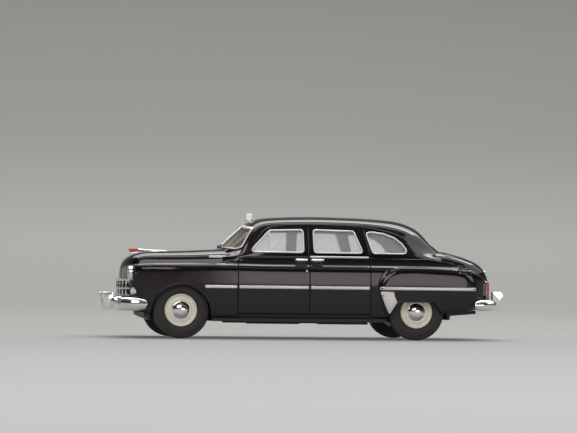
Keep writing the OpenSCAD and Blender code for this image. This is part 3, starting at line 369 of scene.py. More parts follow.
def combine(body, operation, *tools):
    for tool in tools:
        step = body.modifiers.new("combine", "BOOLEAN")
        step.object, step.operation, step.solver, step.material_mode = tool, operation, "MANIFOLD", "INDEX"
        with bpy.context.temp_override(object=body, active_object=body, selected_objects=[body]):
            bpy.ops.object.modifier_apply(modifier=step.name)
        bpy.data.objects.remove(tool)
    return body


def rounded_outline(points, radius, steps=6):
    """A closed outline with an arc of the given radius at every corner."""
    points = np.asarray(points, float)
    out = []
    for a, b, c in zip(np.roll(points, 1, 0), points, np.roll(points, -1, 0)):
        u, v = (a - b) / np.linalg.norm(a - b), (c - b) / np.linalg.norm(c - b)
        half = math.acos(np.clip(u @ v, -1, 1)) / 2
        cut = min(radius / math.tan(half), 0.49 * np.linalg.norm(a - b), 0.49 * np.linalg.norm(c - b))
        start, stop = b + u * cut, b + v * cut
        out += [start * (1 - t) ** 2 + b * 2 * t * (1 - t) + stop * t * t for t in np.linspace(0, 1, steps)]
    return np.array(out)


def rectangle(u0, v0, u1, v1):
    return [(u0, v0), (u1, v0), (u1, v1), (u0, v1)]


def grown(outline, by):
    """An outline moved outwards by a distance, or inwards if it is negative."""
    before, after = np.roll(outline, 1, 0), np.roll(outline, -1, 0)
    run = after - before
    area = np.sum(outline[:, 0] * after[:, 1] - outline[:, 1] * after[:, 0])
    out = np.stack([run[:, 1], -run[:, 0]], 1) / np.linalg.norm(run, axis=1)[:, None]
    return outline + out * by * np.sign(area)


def prism(outline, lo, hi, view):
    """An outline drawn in the side (x, z), front (y, z) or plan (x, y) view and given a depth."""
    outline = np.asarray(outline, float)
    n, after = len(outline), np.roll(outline, -1, 0)
    if np.sum(outline[:, 0] * after[:, 1] - outline[:, 1] * after[:, 0]) < 0:
        outline = outline[::-1]
    order = {"side": [0, 2, 1], "front": [2, 0, 1], "plan": [0, 1, 2]}[view]
    verts = np.vstack([np.column_stack([outline, np.full(n, float(depth))]) for depth in (lo, hi)])[:, order]
    faces = [list(range(n))[::-1], list(range(n, 2 * n))]
    faces += [[i, (i + 1) % n, n + (i + 1) % n, n + i] for i in range(n)]
    return verts, [f[::-1] for f in faces] if view == "side" else faces


def fairing(outline, first, last):
    """A round-edged sleeve of a front view outline, which carries a lamp out of the wing."""
    toward = 1 if first < last else -1
    edge = ((0, 0.5), (0, 0.3), (0.04, 0.17), (0.12, 0.07), (0.25, 0.01), (0.45, 0), (abs(last - first), 0))
    rings = [np.column_stack([np.full(len(outline), along(first + toward * d)), grown(outline, -inset)])
             for d, inset in edge]
    n = len(outline)
    verts = np.vstack(rings + [rings[0].mean(0)[None], rings[-1].mean(0)[None]])
    tris = []
    for i in range(len(rings) - 1):
        for j in range(n):
            a, b, c, d = i * n + j, i * n + (j + 1) % n, (i + 1) * n + (j + 1) % n, (i + 1) * n + j
            tris += [(a, b, c), (a, c, d)]
    top, end = len(rings) * n, (len(rings) - 1) * n
    tris += [(top, (j + 1) % n, j) for j in range(n)]
    tris += [(top + 1, end + j, end + (j + 1) % n) for j in range(n)]
    tris = np.array(tris)
    a, b, c = (verts[tris[:, k]] for k in range(3))
    return verts, tris if np.sum(np.cross(b - a, c - a) * (a - verts.mean(0))) > 0 else tris[:, ::-1]


HEADLAMP_Y, HEADLAMP_Z, TAIL_Y, TAIL_Z = 16.3, 19.9, 16.8, 16.1
LEFT, RIGHT = -1, 1
SIDES = (LEFT, RIGHT)
round_lamp = np.array([(math.cos(a), math.sin(a)) for a in np.linspace(0, 2 * math.pi, 73)[:-1]])
drop = np.vstack([
    [(0.75 * math.cos(a), 2 + 0.75 * math.sin(a)) for a in np.linspace(0.08, math.pi - 0.08, 21)],
    [(-1.05 * math.cos(a), -1.8 - 1.05 * math.sin(a)) for a in np.linspace(-0.08, math.pi + 0.08, 25)]])
sleeves = [fairing(round_lamp * 2.8 + [side * HEADLAMP_Y, HEADLAMP_Z], -15.2, -10.5) for side in SIDES]
sleeves += [fairing(grown(drop, 0.3) + [side * TAIL_Y, TAIL_Z], 97.2, 90.5) for side in SIDES]
skins = [lower_skin(), bonnet_skin(), cabin_skin(), boot_skin()]
shell = solid("body_casting", skins[0])
combine(shell, "UNION", *[solid("skin", shape, k) for k, shape in enumerate(skins) if k],
        *[solid("sleeve", shape, SLEEVE) for shape in sleeves])

side_windows = [rounded_outline([(along(s), BELT_Z + h) for s, h in corners], 1.15, 8) for corners in (
    [(20.9, 1.45), (27.7, 8.65), (38.5, 9), (38.6, 1.45)],
    [(41.5, 1.45), (41.4, 9), (54.6, 8.75), (57.6, 1.45)],
    [(60.3, 1.45), (58.2, 8.1), (60, 8.6), (64.2, 8.1), (67.8, 6.8), (70.3, 4.9), (71.8, 2.8), (71.2, 1.45)])]
screen_half = rounded_outline([(y, BELT_Z + h) for y, h in (
    (0.35, 3.6), (10.7, 2.8), (15, 2.4), (15.9, 3), (13.9, 9.4), (0.35, 10.5))], 0.9, 8)
screens = [screen_half, screen_half[::-1] * [-1, 1]]
rear_window = rounded_outline([(y, BELT_Z + h) for y, h in (
    (-10.2, 4.3), (10.2, 4.3), (7.4, 8.9), (-7.4, 8.9))], 1.4, 8)
ARCH_R = AXLE_Z + 0.55
front_arch = np.array([(along(-0.2) + ARCH_R * math.cos(a), AXLE_Z - 1.35 + ARCH_R * math.sin(a))
                       for a in np.linspace(0, 2 * math.pi, 97)[:-1]])
rear_arch = rounded_outline([(along(s), z) for s, z in (
    (62.7, 4), (65.1, 7.6), (67.5, 11.2), (68.6, 12), (79.6, 12), (81.4, 9.8), (82.7, 7.6),
    (84.2, 4))], 0.9, 6)
SIDE_REACH = ((-23, -9), (9, 23))
SCREEN_REACH, REAR_REACH = (along(11), along(24.8)), (along(75), along(92))

tools = [solid("hollow", lower_skin(WALL, False), LINING), solid("hollow", cabin_skin(WALL, False), LINING)]
tools += [solid("window", prism(w, *reach, "side"), CUT) for w in side_windows for reach in SIDE_REACH]
tools += [solid("screen", prism(w, *SCREEN_REACH, "front"), CUT) for w in screens]
tools += [solid("rear_light", prism(rear_window, *REAR_REACH, "front"), CUT)]
tools += [solid("arch", prism(a, -24, 24, "side"), CUT) for a in (front_arch, rear_arch)]


def gap_line(points):
    """A narrow closed band along a line of points."""
    p = np.asarray(points, float)
    run = np.gradient(p, axis=0)
    out = np.stack([-run[:, 1], run[:, 0]], 1) / np.linalg.norm(run, axis=1)[:, None] * GAP_W / 2
    return np.vstack([p + out, (p - out)[::-1]])


# panel gaps: thin slots that follow the skin a fixed depth, their walls and floors painted dead black as
# painted shade
front_edge = [(along(17.5), 8.0), (along(17.5), 22.8), (along(17.7), 24.4), (along(18.2), BELT_Z - 0.2)]
middle_edge = [(along(40), 8.0), (along(40), BELT_Z)]
posts = [[(along(s), BELT_Z), (along(s), 36)] for s in (39.3, 40.6)]
rear_edge = [(along(59.3), 8.0), (along(59.3), 22.8), (along(59.1), 25.5), (along(58.3), 30), (along(57), 35)]
for line in (front_edge, middle_edge, *posts, rear_edge, [(along(17.4), 8.0), (along(59.4), 8.0)]):
    for reach in ((-23, -8), (8, 23)):
        cut = solid("gap", prism(gap_line(line), *reach, "side"), GAP)
        tools.append(combine(cut, "DIFFERENCE", solid("core", lower_skin(GAP_DEEP, False), GAP),
                             solid("core", cabin_skin(GAP_DEEP, False), GAP)))
lid = rounded_outline([(along(s), y) for s, y in (
    (84.6, -11.4), (84.6, 11.4), (97, 9.6), (103, 6.4), (103, -6.4), (97, -9.6))], 2, 6)
tools.append(combine(
    solid("boot_gap", prism(lid, 14, 30, "plan"), CUT), "DIFFERENCE",
    solid("inside", prism(grown(lid, -GAP_W), 13, 31, "plan"), CUT), solid("core", boot_skin(GAP_DEEP), CUT),
    solid("core", lower_skin(GAP_DEEP, False), CUT), solid("core", cabin_skin(0.3, False), CUT)))
GRILLE_R, GRILLE_X = 33.5, along(-19)
recess = [(GRILLE_X + GRILLE_R - r * math.cos(math.radians(a)), r * math.sin(math.radians(a)))
          for r, sweep in ((36, range(-27, 28, 3)), (29.5, range(27, -28, -3))) for a in sweep]
# the walls and floor of the recess are painted dead black: painted shade behind the grille
tools.append(solid("grille_recess", prism(recess, 12.2, 18.7, "plan"), GAP))
for side in SIDES:
    pocket = round_lamp * 2.58 + [side * HEADLAMP_Y, HEADLAMP_Z]
    tools.append(solid("lamp_pocket", prism(pocket, along(-18), along(-13.3), "front"), CUT))
for s in (37.4, 42.7):
    for side in SIDES:
        bpy.ops.mesh.primitive_uv_sphere_add(segments=48, ring_count=24, radius=MM)
        thumb = bpy.context.object
        centre = [along(s), side * (DOOR_Y - 1.05), BELT_Z - 1.35]
        shape = np.array([v.co for v in thumb.data.vertices]) / MM * [2.1, 0.75, 0.95] + centre
        faces = [list(f.vertices) for f in thumb.data.polygons]
        bpy.data.objects.remove(thumb)
        tools.append(solid("thumb_recess", (shape, faces), CUT))
combine(shell, "DIFFERENCE", *tools)


def fair_normals(piece, sources, slots):
    """Shades a cut skin with the normals of the whole skin it was cut from."""
    mesh = piece.data
    faces = np.empty(len(mesh.polygons), np.int32)
    mesh.polygons.foreach_get("material_index", faces)
    flat = np.empty(len(mesh.polygons) * 3, np.float32)
    mesh.polygons.foreach_get("normal", flat)
    corners = np.empty(len(mesh.loops), np.int32)
    mesh.loops.foreach_get("vertex_index", corners)
    owner = np.repeat(np.arange(len(faces)), [p.loop_total for p in mesh.polygons])
    place = np.empty(len(mesh.vertices) * 3, np.float32)
    mesh.vertices.foreach_get("co", place)
    place, flat = place.reshape(-1, 3), flat.reshape(-1, 3)
    normals = flat[owner].astype(float)
    for slot in sorted(set(slots)):
        shapes = [shape for k, shape in zip(slots, sources) if k == slot]
        start = np.cumsum([0] + [len(v) for v, _ in shapes])
        verts = np.vstack([v for v, _ in shapes]) * MM
        tris = np.vstack([f + k for (_, f), k in zip(shapes, start)])
        a, b, c = (verts[tris[:, k]] for k in range(3))
        weight = np.cross(b - a, c - a)
        spread = np.zeros_like(verts)
        for k in range(3):
            np.add.at(spread, tris[:, k], weight)
        spread /= np.linalg.norm(spread, axis=1)[:, None] + 1e-20
        tree = BVHTree.FromPolygons(verts.tolist(), tris.tolist())
        mine = np.nonzero(faces[owner] == slot)[0]
        used = np.unique(corners[mine])
        found = [tree.find_nearest(place[v]) for v in used]
        spot, index = np.array([f[0] for f in found]), np.array([f[2] for f in found])
        a, b, c = (verts[tris[index, k]] for k in range(3))
        n = np.cross(b - a, c - a)
        area = (n * n).sum(1) + 1e-30
        u = (np.cross(b - spot, c - spot) * n).sum(1) / area
        v = (np.cross(c - spot, a - spot) * n).sum(1) / area
        mixed = sum(spread[tris[index, k]] * w[:, None] for k, w in enumerate((u, v, 1 - u - v)))
        mixed /= np.linalg.norm(mixed, axis=1)[:, None] + 1e-20
        table = np.zeros((len(mesh.vertices), 3))
        table[used] = mixed
        lean = table[corners[mine]]
        agree = (lean * normals[mine]).sum(1) > 0.6
        normals[mine[agree]] = lean[agree]
    mesh.polygons.foreach_set("use_smooth", np.ones(len(faces), bool))
    mesh.normals_split_custom_set(normals.tolist())


fair_normals(shell, skins + sleeves, (0, 1, 2, 3, SLEEVE, SLEEVE, SLEEVE, SLEEVE))

# Gloss enamel: near-black with sharp reflections, broken a little by the faint peel of the spray.
enamel, tree, shader = material("gloss_black_enamel")
where = add(tree, "ShaderNodeTexCoord")
flow = add(tree, "ShaderNodeTexNoise", Vector=where.outputs["Object"], Scale=1 / (2.4 * MM), Detail=2.0)
tone = add(tree, "ShaderNodeMix", {"data_type": "RGBA"}, i0=flow.outputs["Fac"], i6=linear("#110e10"),
           i7=linear("#171317"))
peel = add(tree, "ShaderNodeTexNoise", Vector=where.outputs["Object"], Scale=1 / (0.77 * MM), Detail=1.0)
bump = add(tree, "ShaderNodeBump", Strength=0.02, Distance=0.04 * MM, Height=peel.outputs["Fac"])
haze = add(tree, "ShaderNodeMapRange", Value=flow.outputs["Fac"], To_Min=0.06, To_Max=0.11)
feed(tree, shader, Base_Color=tone.outputs[2], Normal=bump.outputs["Normal"],
     Roughness=haze.outputs["Result"], IOR=1.5, Specular_Tint=linear("#fff7fc"))


def grained(name, dark, light, grain, detail, relief=None, **inputs):
    """A material of two tones that drift with a noise of one grain in mm, which may stand out in relief.

    Real grains are finer than a pixel of the picture, so they are drawn coarser, from 0.45 mm up, to show.
    """
    made, tree, shader = material(name)
    where = add(tree, "ShaderNodeTexCoord")
    noise = add(tree, "ShaderNodeTexNoise", Vector=where.outputs["Object"], Scale=1 / (grain * MM),
                Detail=detail)
    tone = add(tree, "ShaderNodeMix", {"data_type": "RGBA"}, i0=noise.outputs["Fac"], i6=linear(dark),
               i7=linear(light))
    feed(tree, shader, Base_Color=tone.outputs[2], **inputs)
    if relief:
        strength, height = relief
        bump = add(tree, "ShaderNodeBump", Strength=strength, Distance=height * MM,
                   Height=noise.outputs["Fac"])
        feed(tree, shader, Normal=bump.outputs["Normal"])
    return made


# Sprayed lining: a dull warm brown behind the windows.
lining = grained("sprayed_mauve_lining", "#5f5046", "#72625a", 0.55, 4.0, (0.25, 0.08), Roughness=0.75)
# Matt black: a dead black for the wiper arms and the pins, and painted shade in the panel gaps, the grille
# recess and on the grille's back, which makes gaps read as drawn lines.
black_and_painted_shade = grained("matt_black_and_painted_shade", "#0a0a0a", "#161616", 0.67, 3.0, Roughness=0.85)
parts = np.empty(len(shell.data.polygons), np.int32)
shell.data.polygons.foreach_get("material_index", parts)
shell.data.materials.clear()
for finish in (enamel, lining, black_and_painted_shade):
    shell.data.materials.append(finish)
# faces of the gaps and of the grille recess take the matt black of painted shade
finishes = np.where(parts == LINING, 1, np.where(parts == GAP, 2, 0))
shell.data.polygons.foreach_set("material_index", finishes.astype(np.int32))
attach(shell, "car")
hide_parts("body_shell")

# Glazing: clear moulded plastic panes, set flush from inside into the window openings of the casting.
# Two panes in the windscreen, three a side with a vent pane in front, and one in the back.
PANE_IN, PANE_T, PANE_FREE = 0.3, 0.5, 0.12
# Clear plastic: a slightly milky pane with the seats as soft shapes behind it, and a faint painted glow that
# makes the panes read lighter than the seats behind them.
clear, tree, shader = material("clear_moulded_plastic")
where = add(tree, "ShaderNodeTexCoord")
film = add(tree, "ShaderNodeTexNoise", Vector=where.outputs["Object"], Scale=1 / (6 * MM), Detail=2.0)
wipe = add(tree, "ShaderNodeMapRange", Value=film.outputs["Fac"], To_Min=0.0, To_Max=0.04)
tint = add(tree, "ShaderNodeMix", {"data_type": "RGBA"}, i0=film.outputs["Fac"], i6=linear("#efecf2"),
           i7=linear("#faf8fc"))
# the pane's emission is a painted glow, not a lamp
feed(tree, shader, Base_Color=tint.outputs[2], Roughness=wipe.outputs["Result"], Alpha=0.14,
     Emission_Color=linear("#f4f2f8"), Emission_Strength=0.2)
# Smoked plastic: the same pane in a browner, darker tone for the windscreen.
smoked = grained("smoked_moulded_plastic", "#8c8079", "#9b8f88", 6, 2.0, Roughness=0.04, Alpha=0.3)


def together(shapes):
    """Several shapes that don't touch, as one."""
    verts, faces = [], []
    for v, f in shapes:
        faces += [[k + len(verts) for k in face] for face in f]
        verts += [tuple(p) for p in v]
    return np.array(verts), faces


def glaze(name, openings, node, finish):
    """Panes cut from a thin skin under the cabin's own, one for each opening."""
    outer, inner = cabin_skin(PANE_IN), cabin_skin(PANE_IN + PANE_T)
    pane = solid(name, outer, 0)
    combine(pane, "DIFFERENCE", solid("behind", inner, 1))
    combine(pane, "INTERSECT", solid("opening", together(openings), CUT))
    fair_normals(pane, [outer, (inner[0], inner[1][:, ::-1])], (0, 1))
    pane.data.materials.clear()
    pane.data.materials.append(finish)
    pane.data.polygons.foreach_set("material_index", np.zeros(len(pane.data.polygons), np.int32))
    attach(pane, "car")
    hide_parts(node)


panes = [prism(grown(w, -PANE_FREE), *SCREEN_REACH, "front") for w in screens]
glaze("windscreen_panes", panes, "windscreen", smoked)
panes = [prism(grown(w, -PANE_FREE), *reach, "side") for w in side_windows for reach in SIDE_REACH]
glaze("side_panes", panes, "side_glass", clear)
glaze("rear_pane", [prism(grown(rear_window, -PANE_FREE), *REAR_REACH, "front")], "rear_glass", clear)

# Window frames: thin bright beads round every pane, printed foil on the model, with the upright bar of the
# vent pane. The windscreen has a broader header along its top, and the rear frame is set into its opening.
FRAME_R, FRAME_IN, FRAME_STEP = 0.27, 0.2, 0.4
HEADER_R, HEADER_IN, HEADER_Z = 0.5, 0.5, BELT_Z + 8.4
VENT_BAR_S, REAR_FRAME_SINK = 27.6, (0.18, 0, 0.24)
# Foil: pale satin silver with a fine grain, lighter than the paint from any side.
foil = grained("satin_silver_foil", "#d6d3d1", "#e7e5e3", 0.67, 3.0, (0.1, 0.03), Metallic=0.6,
               Roughness=0.36)
cabin_tree = BVHTree.FromPolygons(skins[2][0].tolist(), skins[2][1].tolist())


def onto_cabin(starts, direction):
    """Points carried along a direction until they meet the cabin."""
    hits = [cabin_tree.ray_cast(Vector(p), Vector(direction))[0] for p in starts]
    return np.array([hit for hit in hits if hit is not None])


def from_side(points, side):
    return onto_cabin([(x, side * 40, z) for x, z in points], (0, -side, 0))


def from_front(points):
    return onto_cabin([(-60, y, z) for y, z in points], (1, 0, 0))


def only(piece):
    bpy.ops.object.select_all(action="DESELECT")
    piece.select_set(True)
    bpy.context.view_layer.objects.active = piece
    return piece


def joined(name, pieces):
    only(pieces[0])
    for piece in pieces[1:]:
        piece.select_set(True)
    bpy.ops.object.join()
    bpy.context.object.name = name
    return bpy.context.object


def bead(name, lines, radius, finish, closed=True, sides=3):
    """A round bead along each line of points, as one mesh."""
    curve = bpy.data.curves.new(name, "CURVE")
    curve.dimensions, curve.use_fill_caps = "3D", True
    curve.bevel_depth, curve.bevel_resolution = radius * MM, sides
    for line in lines:
        spline = curve.splines.new("POLY")
        spline.points.add(len(line) - 1)
        points = np.concatenate([np.asarray(line) * MM, np.ones((len(line), 1))], 1)
        spline.points.foreach_set("co", points.ravel())
        spline.use_cyclic_u = closed
    made = bpy.data.objects.new(name, curve)
    scene.collection.objects.link(made)
    only(made)
    bpy.ops.object.convert(target="MESH")
    made = bpy.context.object
    bpy.ops.object.shade_smooth()
    made.data.materials.clear()
    made.data.materials.append(finish)
    return made


def seat(piece, node, body="car"):
    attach(piece, body)
    if node:
        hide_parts(node)
    return piece


def evenly(outline, step):
    """A closed outline stepped into short equal lengths."""
    loop = np.vstack([outline, outline[:1]])
    done = np.concatenate([[0], np.cumsum(np.linalg.norm(np.diff(loop, axis=0), axis=1))])
    goal = np.linspace(0, done[-1], max(int(done[-1] / step), 8), endpoint=False)
    return np.stack([np.interp(goal, done, loop[:, c]) for c in range(loop.shape[1])], 1)


lines = [from_side(evenly(grown(w, -FRAME_IN), FRAME_STEP), side) for side in SIDES for w in side_windows]
seat(bead("side_window_frames", lines, FRAME_R, foil), "side_frames")
bar = [(along(VENT_BAR_S), z) for z in np.linspace(BELT_Z + 1.6, BELT_Z + 8.4, 20)]
seat(bead("vent_bars", [from_side(bar, side) for side in SIDES], FRAME_R, foil, False), None)
lines = [from_front(evenly(grown(w, -0.15), FRAME_STEP)) for w in screens]
seat(bead("windscreen_frame", lines, 0.25, foil), "screen_frame")
lines = [[(y, z) for y, z in evenly(grown(w, -HEADER_IN), 0.3) if z > HEADER_Z and abs(y) > 1]
         for w in screens]
seat(bead("windscreen_headers", map(from_front, lines), HEADER_R, foil, False), None)
line = onto_cabin([(90, y, z) for y, z in evenly(grown(rear_window, -FRAME_IN), FRAME_STEP)], (-1, 0, 0))
seat(bead("rear_window_frame", [line - REAR_FRAME_SINK], FRAME_R, foil), "rear_frame")

# Belt mouldings: a fine bright bead along the belt of each rear door, between the door gaps, in the same
# printed foil as the window frames.
MOULDING_Y, MOULDING_Z = DOOR_Y - 1.72, BELT_Z + 0.32
lines = [[(along(s), side * MOULDING_Y, MOULDING_Z) for s in np.linspace(40.3, 58.8, 40)] for side in SIDES]
seat(bead("belt_mouldings", lines, FRAME_R, foil, False), None)

# Wipers: two black arms at rest along the foot of the windscreen, each on a round spindle in front of it.
# They are moulded plastic, pressed into the casting.
ARM_R, ARM_L, ARM_FALL, SPINDLE_R, SPINDLE_Y, SPINDLE_Z = 0.2, 9.0, 0.65, 0.6, 3.4, BELT_Z + 3.55
arms = [from_front([(side * (SPINDLE_Y + ARM_L * k), SPINDLE_Z - ARM_FALL * k) for k in np.linspace(0, 1, 24)])
        for side in SIDES]
wipers = [bead("arm", arms, ARM_R, black_and_painted_shade, False)]
for arm in arms:
    bpy.ops.mesh.primitive_uv_sphere_add(segments=24, ring_count=12, radius=SPINDLE_R * MM,
                                         location=arm[0] * MM)
    bpy.ops.object.transform_apply()
    bpy.ops.object.shade_smooth()
    bpy.context.object.data.materials.append(enamel)
    wipers.append(bpy.context.object)
seat(joined("wipers", wipers), None)

# Drip rails: a fine gutter along the roof edge over the doors and a raised edge down each door post, cast
# with the body and painted with it.
RAIL_R = 0.2
rail = np.array([  # station, height above the belt
    (21.8, 2.1), (24.1, 5.9), (25.8, 8.1), (27.4, 9.35), (30.9, 10.05), (34.4, 10.35), (39.2, 10.5),
    (43.9, 10.5), (53.5, 10.3), (58.3, 9.85), (61.6, 9.4), (66.5, 8.4), (69.8, 7.2), (72.1, 5.7)])
for _ in range(3):  # corners cut three times, which rounds the line
    a, b = rail[:-1], rail[1:]
    rail = np.vstack([rail[:1], 0.75 * a + 0.25 * b, 0.25 * a + 0.75 * b, rail[-1:]])
    rail = rail[np.argsort(rail[:, 0])]
edges = [rail + [FRONT_AXLE_X, BELT_Z],
         [(along(39.95), z) for z in np.linspace(BELT_Z + 0.8, BELT_Z + 9.8, 24)],
         [(along(59.6 - 0.24 * k), BELT_Z + 0.8 + k) for k in np.linspace(0, 8.4, 24)]]
lines = [from_side(edge, side) for edge in edges for side in SIDES]
seat(bead("drip_rails", lines, RAIL_R, enamel, False), None)

# Grille: plated bars on one bow across the nose with a comb of upright teeth, moulded as one piece with its
# matt black back, painted shade behind the teeth, and set into the recess of the casting.
# Chrome plating: mirrors the room, a little clouded so that highlights have soft ends.
plating, tree, shader = material("bright_chrome_plating")
where = add(tree, "ShaderNodeTexCoord")
cloud = add(tree, "ShaderNodeTexNoise", Vector=where.outputs["Object"], Scale=1 / (4 * MM), Detail=3.0)
tone = add(tree, "ShaderNodeMix", {"data_type": "RGBA"}, i0=cloud.outputs["Fac"], i6=linear("#e6e6e5"),
           i7=linear("#f6f6f5"))
haze = add(tree, "ShaderNodeMapRange", Value=cloud.outputs["Fac"], To_Min=0.05, To_Max=0.12)
feed(tree, shader, Base_Color=tone.outputs[2], Roughness=haze.outputs["Result"], Metallic=1.0)


def ring_faces(count, n):
    """Faces between rings of n points each, one ring after the other."""
    return [[i * n + j, i * n + (j + 1) % n, (i + 1) * n + (j + 1) % n, (i + 1) * n + j]
            for i in range(count - 1) for j in range(n)]


def swept(places, section):
    """A closed section carried along places in plan: x, y, direction of its outer face, height share."""
    rings = [[(x + o * math.cos(a), y - o * math.sin(a), z * share) for o, z in section]
             for x, y, a, share in places]
    n, count = len(section), len(places)
    faces = ring_faces(count, n) + [list(range(n))[::-1], list(range((count - 1) * n, count * n))]
    return np.array(rings).reshape(-1, 3), faces


def made_of(name, shape, finish, edge=0.0, steps=2, angle=40):
    """A solid piece from its shape, with its edges broken and shaded smooth."""
    mesh = bpy.data.meshes.new(name)
    mesh.from_pydata((np.asarray(shape[0], float) * MM).tolist(), [], [list(map(int, f)) for f in shape[1]])
    mesh.materials.append(finish)
    made = bpy.data.objects.new(name, mesh)
    scene.collection.objects.link(made)
    only(made)
    bpy.ops.object.mode_set(mode="EDIT")
    bpy.ops.mesh.select_all(action="SELECT")
    bpy.ops.mesh.normals_make_consistent(inside=False)
    bpy.ops.object.mode_set(mode="OBJECT")
    if edge:
        bevel = made.modifiers.new("edge", "BEVEL")
        bevel.width, bevel.segments = edge * MM, steps
        bevel.limit_method, bevel.angle_limit = "ANGLE", math.radians(30)
        bpy.ops.object.modifier_apply(modifier=bevel.name)
    bpy.ops.object.shade_smooth_by_angle(angle=math.radians(angle))
    return made


def bow(half):
    """Places along the grille's bow, to an angle in degrees on both sides."""
    return [(GRILLE_X + GRILLE_R - GRILLE_R * math.cos(a), GRILLE_R * math.sin(a), a, 1)
            for a in np.radians(np.linspace(-half, half, 49))]


TOP_BAR_Z, MID_BAR_Z, LOW_BAR_Z, BAR_DEEP = 18.1, 15.4, 13.2, 1.1
TOOTH_PITCH, OUTER_TOOTH, TOOTH_TOP = 5, 25.4, 18.0
tooth_plan = (  # distance outwards, share of the half width
    (0, -1), (0.06, -1), (0.2, -0.5), (0.25, 0), (0.2, 0.5), (0.06, 1), (0, 1))
pieces = []
for z, h, half in ((TOP_BAR_Z, 0.9, 22.5), (MID_BAR_Z, 0.65, 26), (LOW_BAR_Z, 0.6, 26)):
    verts, faces = swept(bow(half), rounded_outline(rectangle(0, -h / 2, BAR_DEEP, h / 2), 0.3, 4))
    pieces.append(made_of("bar", (verts + [0, 0, z], faces), plating))
for k in range(-5, 6):
    a = math.radians(TOOTH_PITCH * k if abs(k) < 5 else math.copysign(OUTER_TOOTH, k))
    half, top = (0.3, TOOTH_TOP) if abs(k) < 5 else (0.5, MID_BAR_Z)
    out, across = np.array((-math.cos(a), math.sin(a))), np.array((math.sin(a), math.cos(a)))
    foot = np.array((GRILLE_X + GRILLE_R, 0)) + out * (GRILLE_R - 0.55)
    corners = [foot + out * d + across * w * half for d, w in tooth_plan]
    pieces.append(made_of("tooth", prism(corners, LOW_BAR_Z, top, "plan"), plating, 0.06, 1))
for side in SIDES:
    curl = [(math.radians(side * (21.5 + 5 * math.sin(q))), MID_BAR_Z + 2.5 * math.cos(q))
            for q in np.linspace(0, math.pi / 2, 17)]
    r = GRILLE_R - 0.5
    line = [(GRILLE_X + GRILLE_R - r * math.cos(a), r * math.sin(a), z) for a, z in curl]
    pieces.append(bead("end", [line], 0.5, plating, False, 4))
# the black back behind the teeth is painted shade
verts, faces = swept(bow(25), [(0.58, -2.7), (0.95, -2.7), (0.95, 2.5), (0.58, 2.5)])
pieces.append(made_of("backing", (verts + [0, 0, 15.6], faces), black_and_painted_shade))
seat(joined("grille_comb", pieces), "grille")

# Headlamps: a turned and plated rim with a rolled lip and a bright bowl, pressed into a pocket of the wing,
# and a domed ribbed glass in front of it.
# Lamp glass: fluted, so that the bright bowl behind it breaks into upright lines.
# The bands of a wave pattern are pi / 10 apart at a scale of 1, so its scale follows from their pitch.
FLUTE_PITCH = 0.75
lamp_glass, tree, shader = material("moulded_lamp_glass")
where = add(tree, "ShaderNodeTexCoord")
flute = add(tree, "ShaderNodeTexWave", {"bands_direction": "Y"}, Vector=where.outputs["Object"],
            Scale=math.pi / 10 / (FLUTE_PITCH * MM), Distortion=0.2)
bump = add(tree, "ShaderNodeBump", Strength=0.35, Distance=0.1 * MM, Height=flute.outputs["Fac"])
tint = add(tree, "ShaderNodeMix", {"data_type": "RGBA"}, i0=flute.outputs["Fac"], i6=linear("#e6ebec"),
           i7=linear("#f7f9f9"))
feed(tree, shader, Base_Color=tint.outputs[2], Normal=bump.outputs["Normal"], Transmission_Weight=0.75,
     Roughness=0.06, IOR=1.5)


def turned(name, profile, centre, axis, finish, steps=64, angle=50):
    """A piece turned on a lathe: a line of (radius, distance along the axis) spun round the axis."""
    axis = Vector(axis).normalized()
    across = axis.orthogonal().normalized()
    mesh = bpy.data.meshes.new(name)
    mesh.from_pydata([(Vector(centre) + across * r + axis * d) * MM for r, d in profile],
                     [(k, k + 1) for k in range(len(profile) - 1)], [])
    mesh.materials.append(finish)
    made = bpy.data.objects.new(name, mesh)
    scene.collection.objects.link(made)
    only(made)
    bpy.ops.object.mode_set(mode="EDIT")
    bpy.ops.mesh.select_all(action="SELECT")
    bpy.ops.mesh.spin(steps=steps, angle=2 * math.pi, center=Vector(centre) * MM, axis=axis)
    bpy.ops.mesh.select_all(action="SELECT")
    bpy.ops.mesh.remove_doubles(threshold=1e-6)
    bpy.ops.mesh.normals_make_consistent(inside=False)
    bpy.ops.object.mode_set(mode="OBJECT")
    bpy.ops.object.shade_smooth_by_angle(angle=math.radians(angle))
    return made


rim = [(2.45, 2.6), (2.5, 0.6), (2.5, 0.2), (2.44, -0.08), (2.3, -0.28), (2.12, -0.36), (1.97, -0.3),
       (1.88, -0.12), (1.86, 0.2), (1.6, 0.9), (1.1, 1.4), (0.4, 1.6), (0.0, 1.62)]
lens = [(0.0, -0.66), (0.5, -0.64), (1.0, -0.56), (1.4, -0.42), (1.75, -0.22), (1.86, -0.05), (1.8, 0.12),
        (1.4, -0.1), (0.8, -0.26), (0.0, -0.32)]
HEADLAMP_S = -16
centres = [(along(HEADLAMP_S), side * HEADLAMP_Y, HEADLAMP_Z) for side in SIDES]
rims = [turned("rim", rim, centre, (1, 0, 0), plating) for centre in centres]
lenses = [turned("lens", lens, centre, (1, 0, 0), lamp_glass) for centre in centres]
seat(joined("headlamp_shells", rims), "headlamp_rims")
seat(joined("headlamp_glasses", lenses), "headlamp_lenses")

# Corner lamps under the headlamps: a plated bezel on the corner of each wing, pressed into the casting, with
# a small milky glass in it.
# Milky plastic: a soft white without hard highlights.
milky = grained("milky_lamp_plastic", "#dfdedb", "#f2f2f0", 1.4, 2.0, Roughness=0.22, Subsurface_Weight=0.3,
                Subsurface_Radius=(0.8 * MM, 0.8 * MM, 0.8 * MM))


def spun_about_z(shape, angle, centre):
    verts, c, s = np.asarray(shape[0], float), math.cos(angle), math.sin(angle)
    spun = np.stack([verts[:, 0] * c - verts[:, 1] * s, verts[:, 0] * s + verts[:, 1] * c, verts[:, 2]], 1)
    return spun + np.asarray(centre), shape[1]


